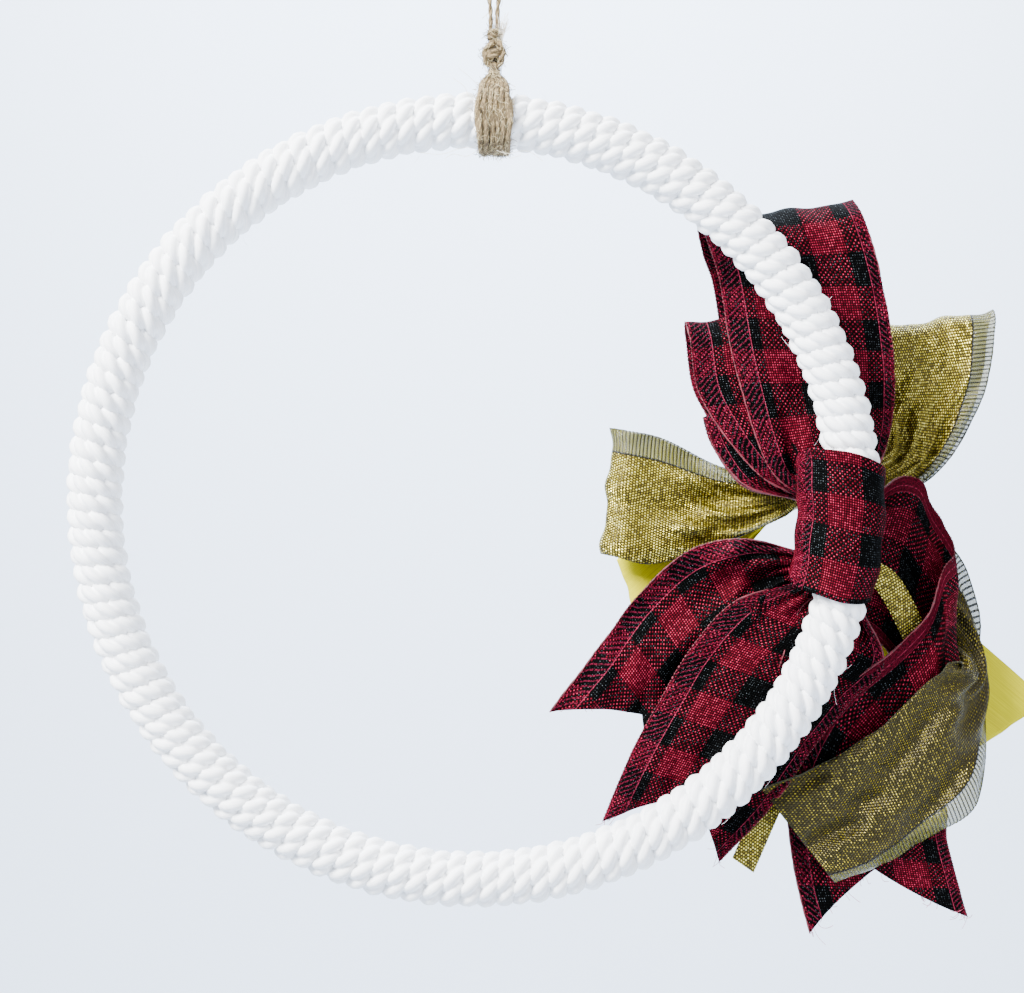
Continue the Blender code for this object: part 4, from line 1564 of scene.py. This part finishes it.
    def strays(self, draw: random.Random) -> list[np.ndarray]:
        """Give the long hairs below the ring and beside the neck, and the frayed end by the upper knot.

        Args:
            draw: the source of chance.

        Returns:
            The hairs.
        """
        lines = []
        for turns in (
            [(-7, -10, -73), (-12, -11, -73.6), (-19, -12, -76), (-27, -12, -75.5)],
            [(-6, -9, -74), (-10, -10, -76.4), (-15, -11, -75.8), (-18, -11, -77.4)],
            [(1, -9, -74), (5, -11, -75.6), (11, -12, -74.8), (14, -12, -75.6), (18, -12, -78.6)],
            [(3, -9, -74), (6, -10, -77), (10, -10, -76)],
            [(-5, -4, -50), (-9, -5, -46), (-13, -6, -43)],
            [(-6, -6, -56), (-9, -6, -54), (-11, -7, -50), (-15, -7, -47)],
            [(5, -6, -58), (9, -7, -57), (14, -7, -58)],
        ):
            lines.append(smooth_rows(np.array(turns) * MM, 1.0 * MM))
        for _ in range(self.frayed_fibres):
            start = np.array([draw.uniform(0.8, 3.0), draw.uniform(-1.6, 0.6), draw.uniform(-33, -30)]) * MM
            way = np.array([draw.uniform(-0.05, 0.5), draw.uniform(-0.2, 0.2), 1.0])
            lines.append(wander(start, way, draw.uniform(4, 10) * MM, 0.09, draw))
        return lines

    def build(self) -> None:
        """Make the hanger."""
        jute = JuteFibre().material()
        self.build_loop(jute)
        draw = random.Random(8)
        fibres = []
        for number, path in enumerate(self.wrap_paths()):
            radius = self.twine * 0.84 * MM
            mesh = twine_mesh(f"hanger_turn_{number + 1}", path, radius, 2, self.turn_lay * MM, 14)
            show(mesh, jute, "hanger_wrap")
            fibres += self.felt(path, radius * 0.95, self.turn_fibres, draw)
        nodes = ["hanger_knot_lower", "hanger_knot_upper"] * 3
        strands = zip(self.knot_paths(), nodes, self.strand_radii)
        for number, (path, node, strand_radius) in enumerate(strands):
            thick = strand_radius * MM
            mesh = twine_mesh(f"hanger_knot_strand_{number + 1}", path, thick, 2, self.strand_lay * MM, 12)
            show(mesh, jute, node)
            fibres += self.felt(path, thick * 0.95, self.strand_fibres, draw)
        fibres += self.felt(self.loop_path(), self.twine * 0.48 * MM, self.loop_fibres, draw)
        shades = (("light", "#D6C89E", "#80704A"), ("dark", "#5A4829", "#1A120A"))
        for first, (name, light, dark) in enumerate(shades):
            fibre = DyedThread(f"{name}_jute_fibre", light, dark).material()
            felt = thread_curve(f"{name}_jute_felt", fibres[first::2], self.fibre_radius * MM)
            show(felt, fibre)
        stray = DyedThread("bleached_jute_fibre", "#F4EEDC", "#B8A888").material()
        show(thread_curve("jute_strays", self.strays(draw), self.stray_radius * MM), stray)


@dataclass
class Studio:
    """A pale backdrop and floor, soft lights, and the camera at the photograph's place, in metres."""

    camera_at: tuple[float, float, float] = (0.0067, -0.65, -0.2017)
    lens: float = 61.1
    wall_y: float = 3.2
    floor_z: float = -1.6

    def backdrop(self) -> None:
        """Make the backdrop and the floor."""
        material, _, _ = start_material("pale_matt_paint", Roughness=0.9, Base_Color=linear("#E2EAF4"))
        for name, turn, place in (
            ("studio_floor", 0.0, (0, 0, self.floor_z)),
            ("studio_wall", math.pi / 2, (0, self.wall_y, 2.0)),
        ):
            sheet = bmesh.new()
            bmesh.ops.create_grid(sheet, x_segments=1, y_segments=1, size=7.0)
            move = Matrix.Translation(place) @ Matrix.Rotation(turn, 4, "X")
            bmesh.ops.transform(sheet, matrix=move, verts=sheet.verts)
            mesh = bpy.data.meshes.new(name)
            sheet.to_mesh(mesh)
            sheet.free()
            mesh.materials.append(material)
            made = bpy.data.objects.new(name, mesh)
            bpy.context.scene.collection.objects.link(made)

    def light(
        self,
        name: str,
        place: tuple[float, float, float],
        size: float,
        power: float,
        hex_value: str,
        target: tuple[float, float, float] = (0.03, 0.0, -0.2),
    ) -> None:
        """Hang a soft square light.

        Args:
            name: the light's name.
            place: where it hangs, in metres.
            size: its side, in metres.
            power: its power, in watts.
            hex_value: its colour.
            target: the place that it faces.
        """
        data = bpy.data.lights.new(name, "AREA")
        data.size = size
        data.energy = power
        data.color = linear(hex_value)[:3]
        lamp = bpy.data.objects.new(name, data)
        lamp.location = place
        aim = Vector(target) - Vector(place)
        lamp.rotation_euler = aim.to_track_quat("-Z", "Y").to_euler()
        bpy.context.scene.collection.objects.link(lamp)

    def camera(self) -> None:
        """Set the camera."""
        data = bpy.data.cameras.new("photo_view")
        data.lens = self.lens
        data.sensor_width = 36.0
        view = bpy.data.objects.new("photo_view", data)
        view.location = self.camera_at
        view.rotation_euler = (math.pi / 2, 0.0, 0.0)
        bpy.context.scene.collection.objects.link(view)
        bpy.context.scene.camera = view

    def build(self) -> None:
        """Set the stage and the lights."""
        self.backdrop()
        self.light("key_upper_left", (-0.95, -0.8, 0.75), 0.7, 165.0, "#FFFFFF")
        self.light("fill_right", (1.2, -1.1, -0.1), 1.2, 20.0, "#F4F7FF")
        self.light("wall_wash", (0.0, 1.2, 2.0), 2.0, 470.0, "#E4EFFF", (0.0, self.wall_y, -0.3))
        world = bpy.data.worlds.new("pale_room")
        world.use_nodes = True
        sky = world.node_tree.nodes["Background"]
        sky.inputs["Color"].default_value = linear("#EDF1F8")
        sky.inputs["Strength"].default_value = 1.3
        bpy.context.scene.world = world


def main() -> None:
    """Make every piece."""
    logging.basicConfig(level=logging.INFO, format="%(message)s")
    studio = Studio()
    studio.camera()
    Hanger().build()
    WoundRing().build()
    Bow().build()
    TieBand().build(WovenPlaid("woven_plaid_band", second_edge=0.0445, second_hem=0.0065).material())
    studio.build()


if __name__ == "__main__":
    main()
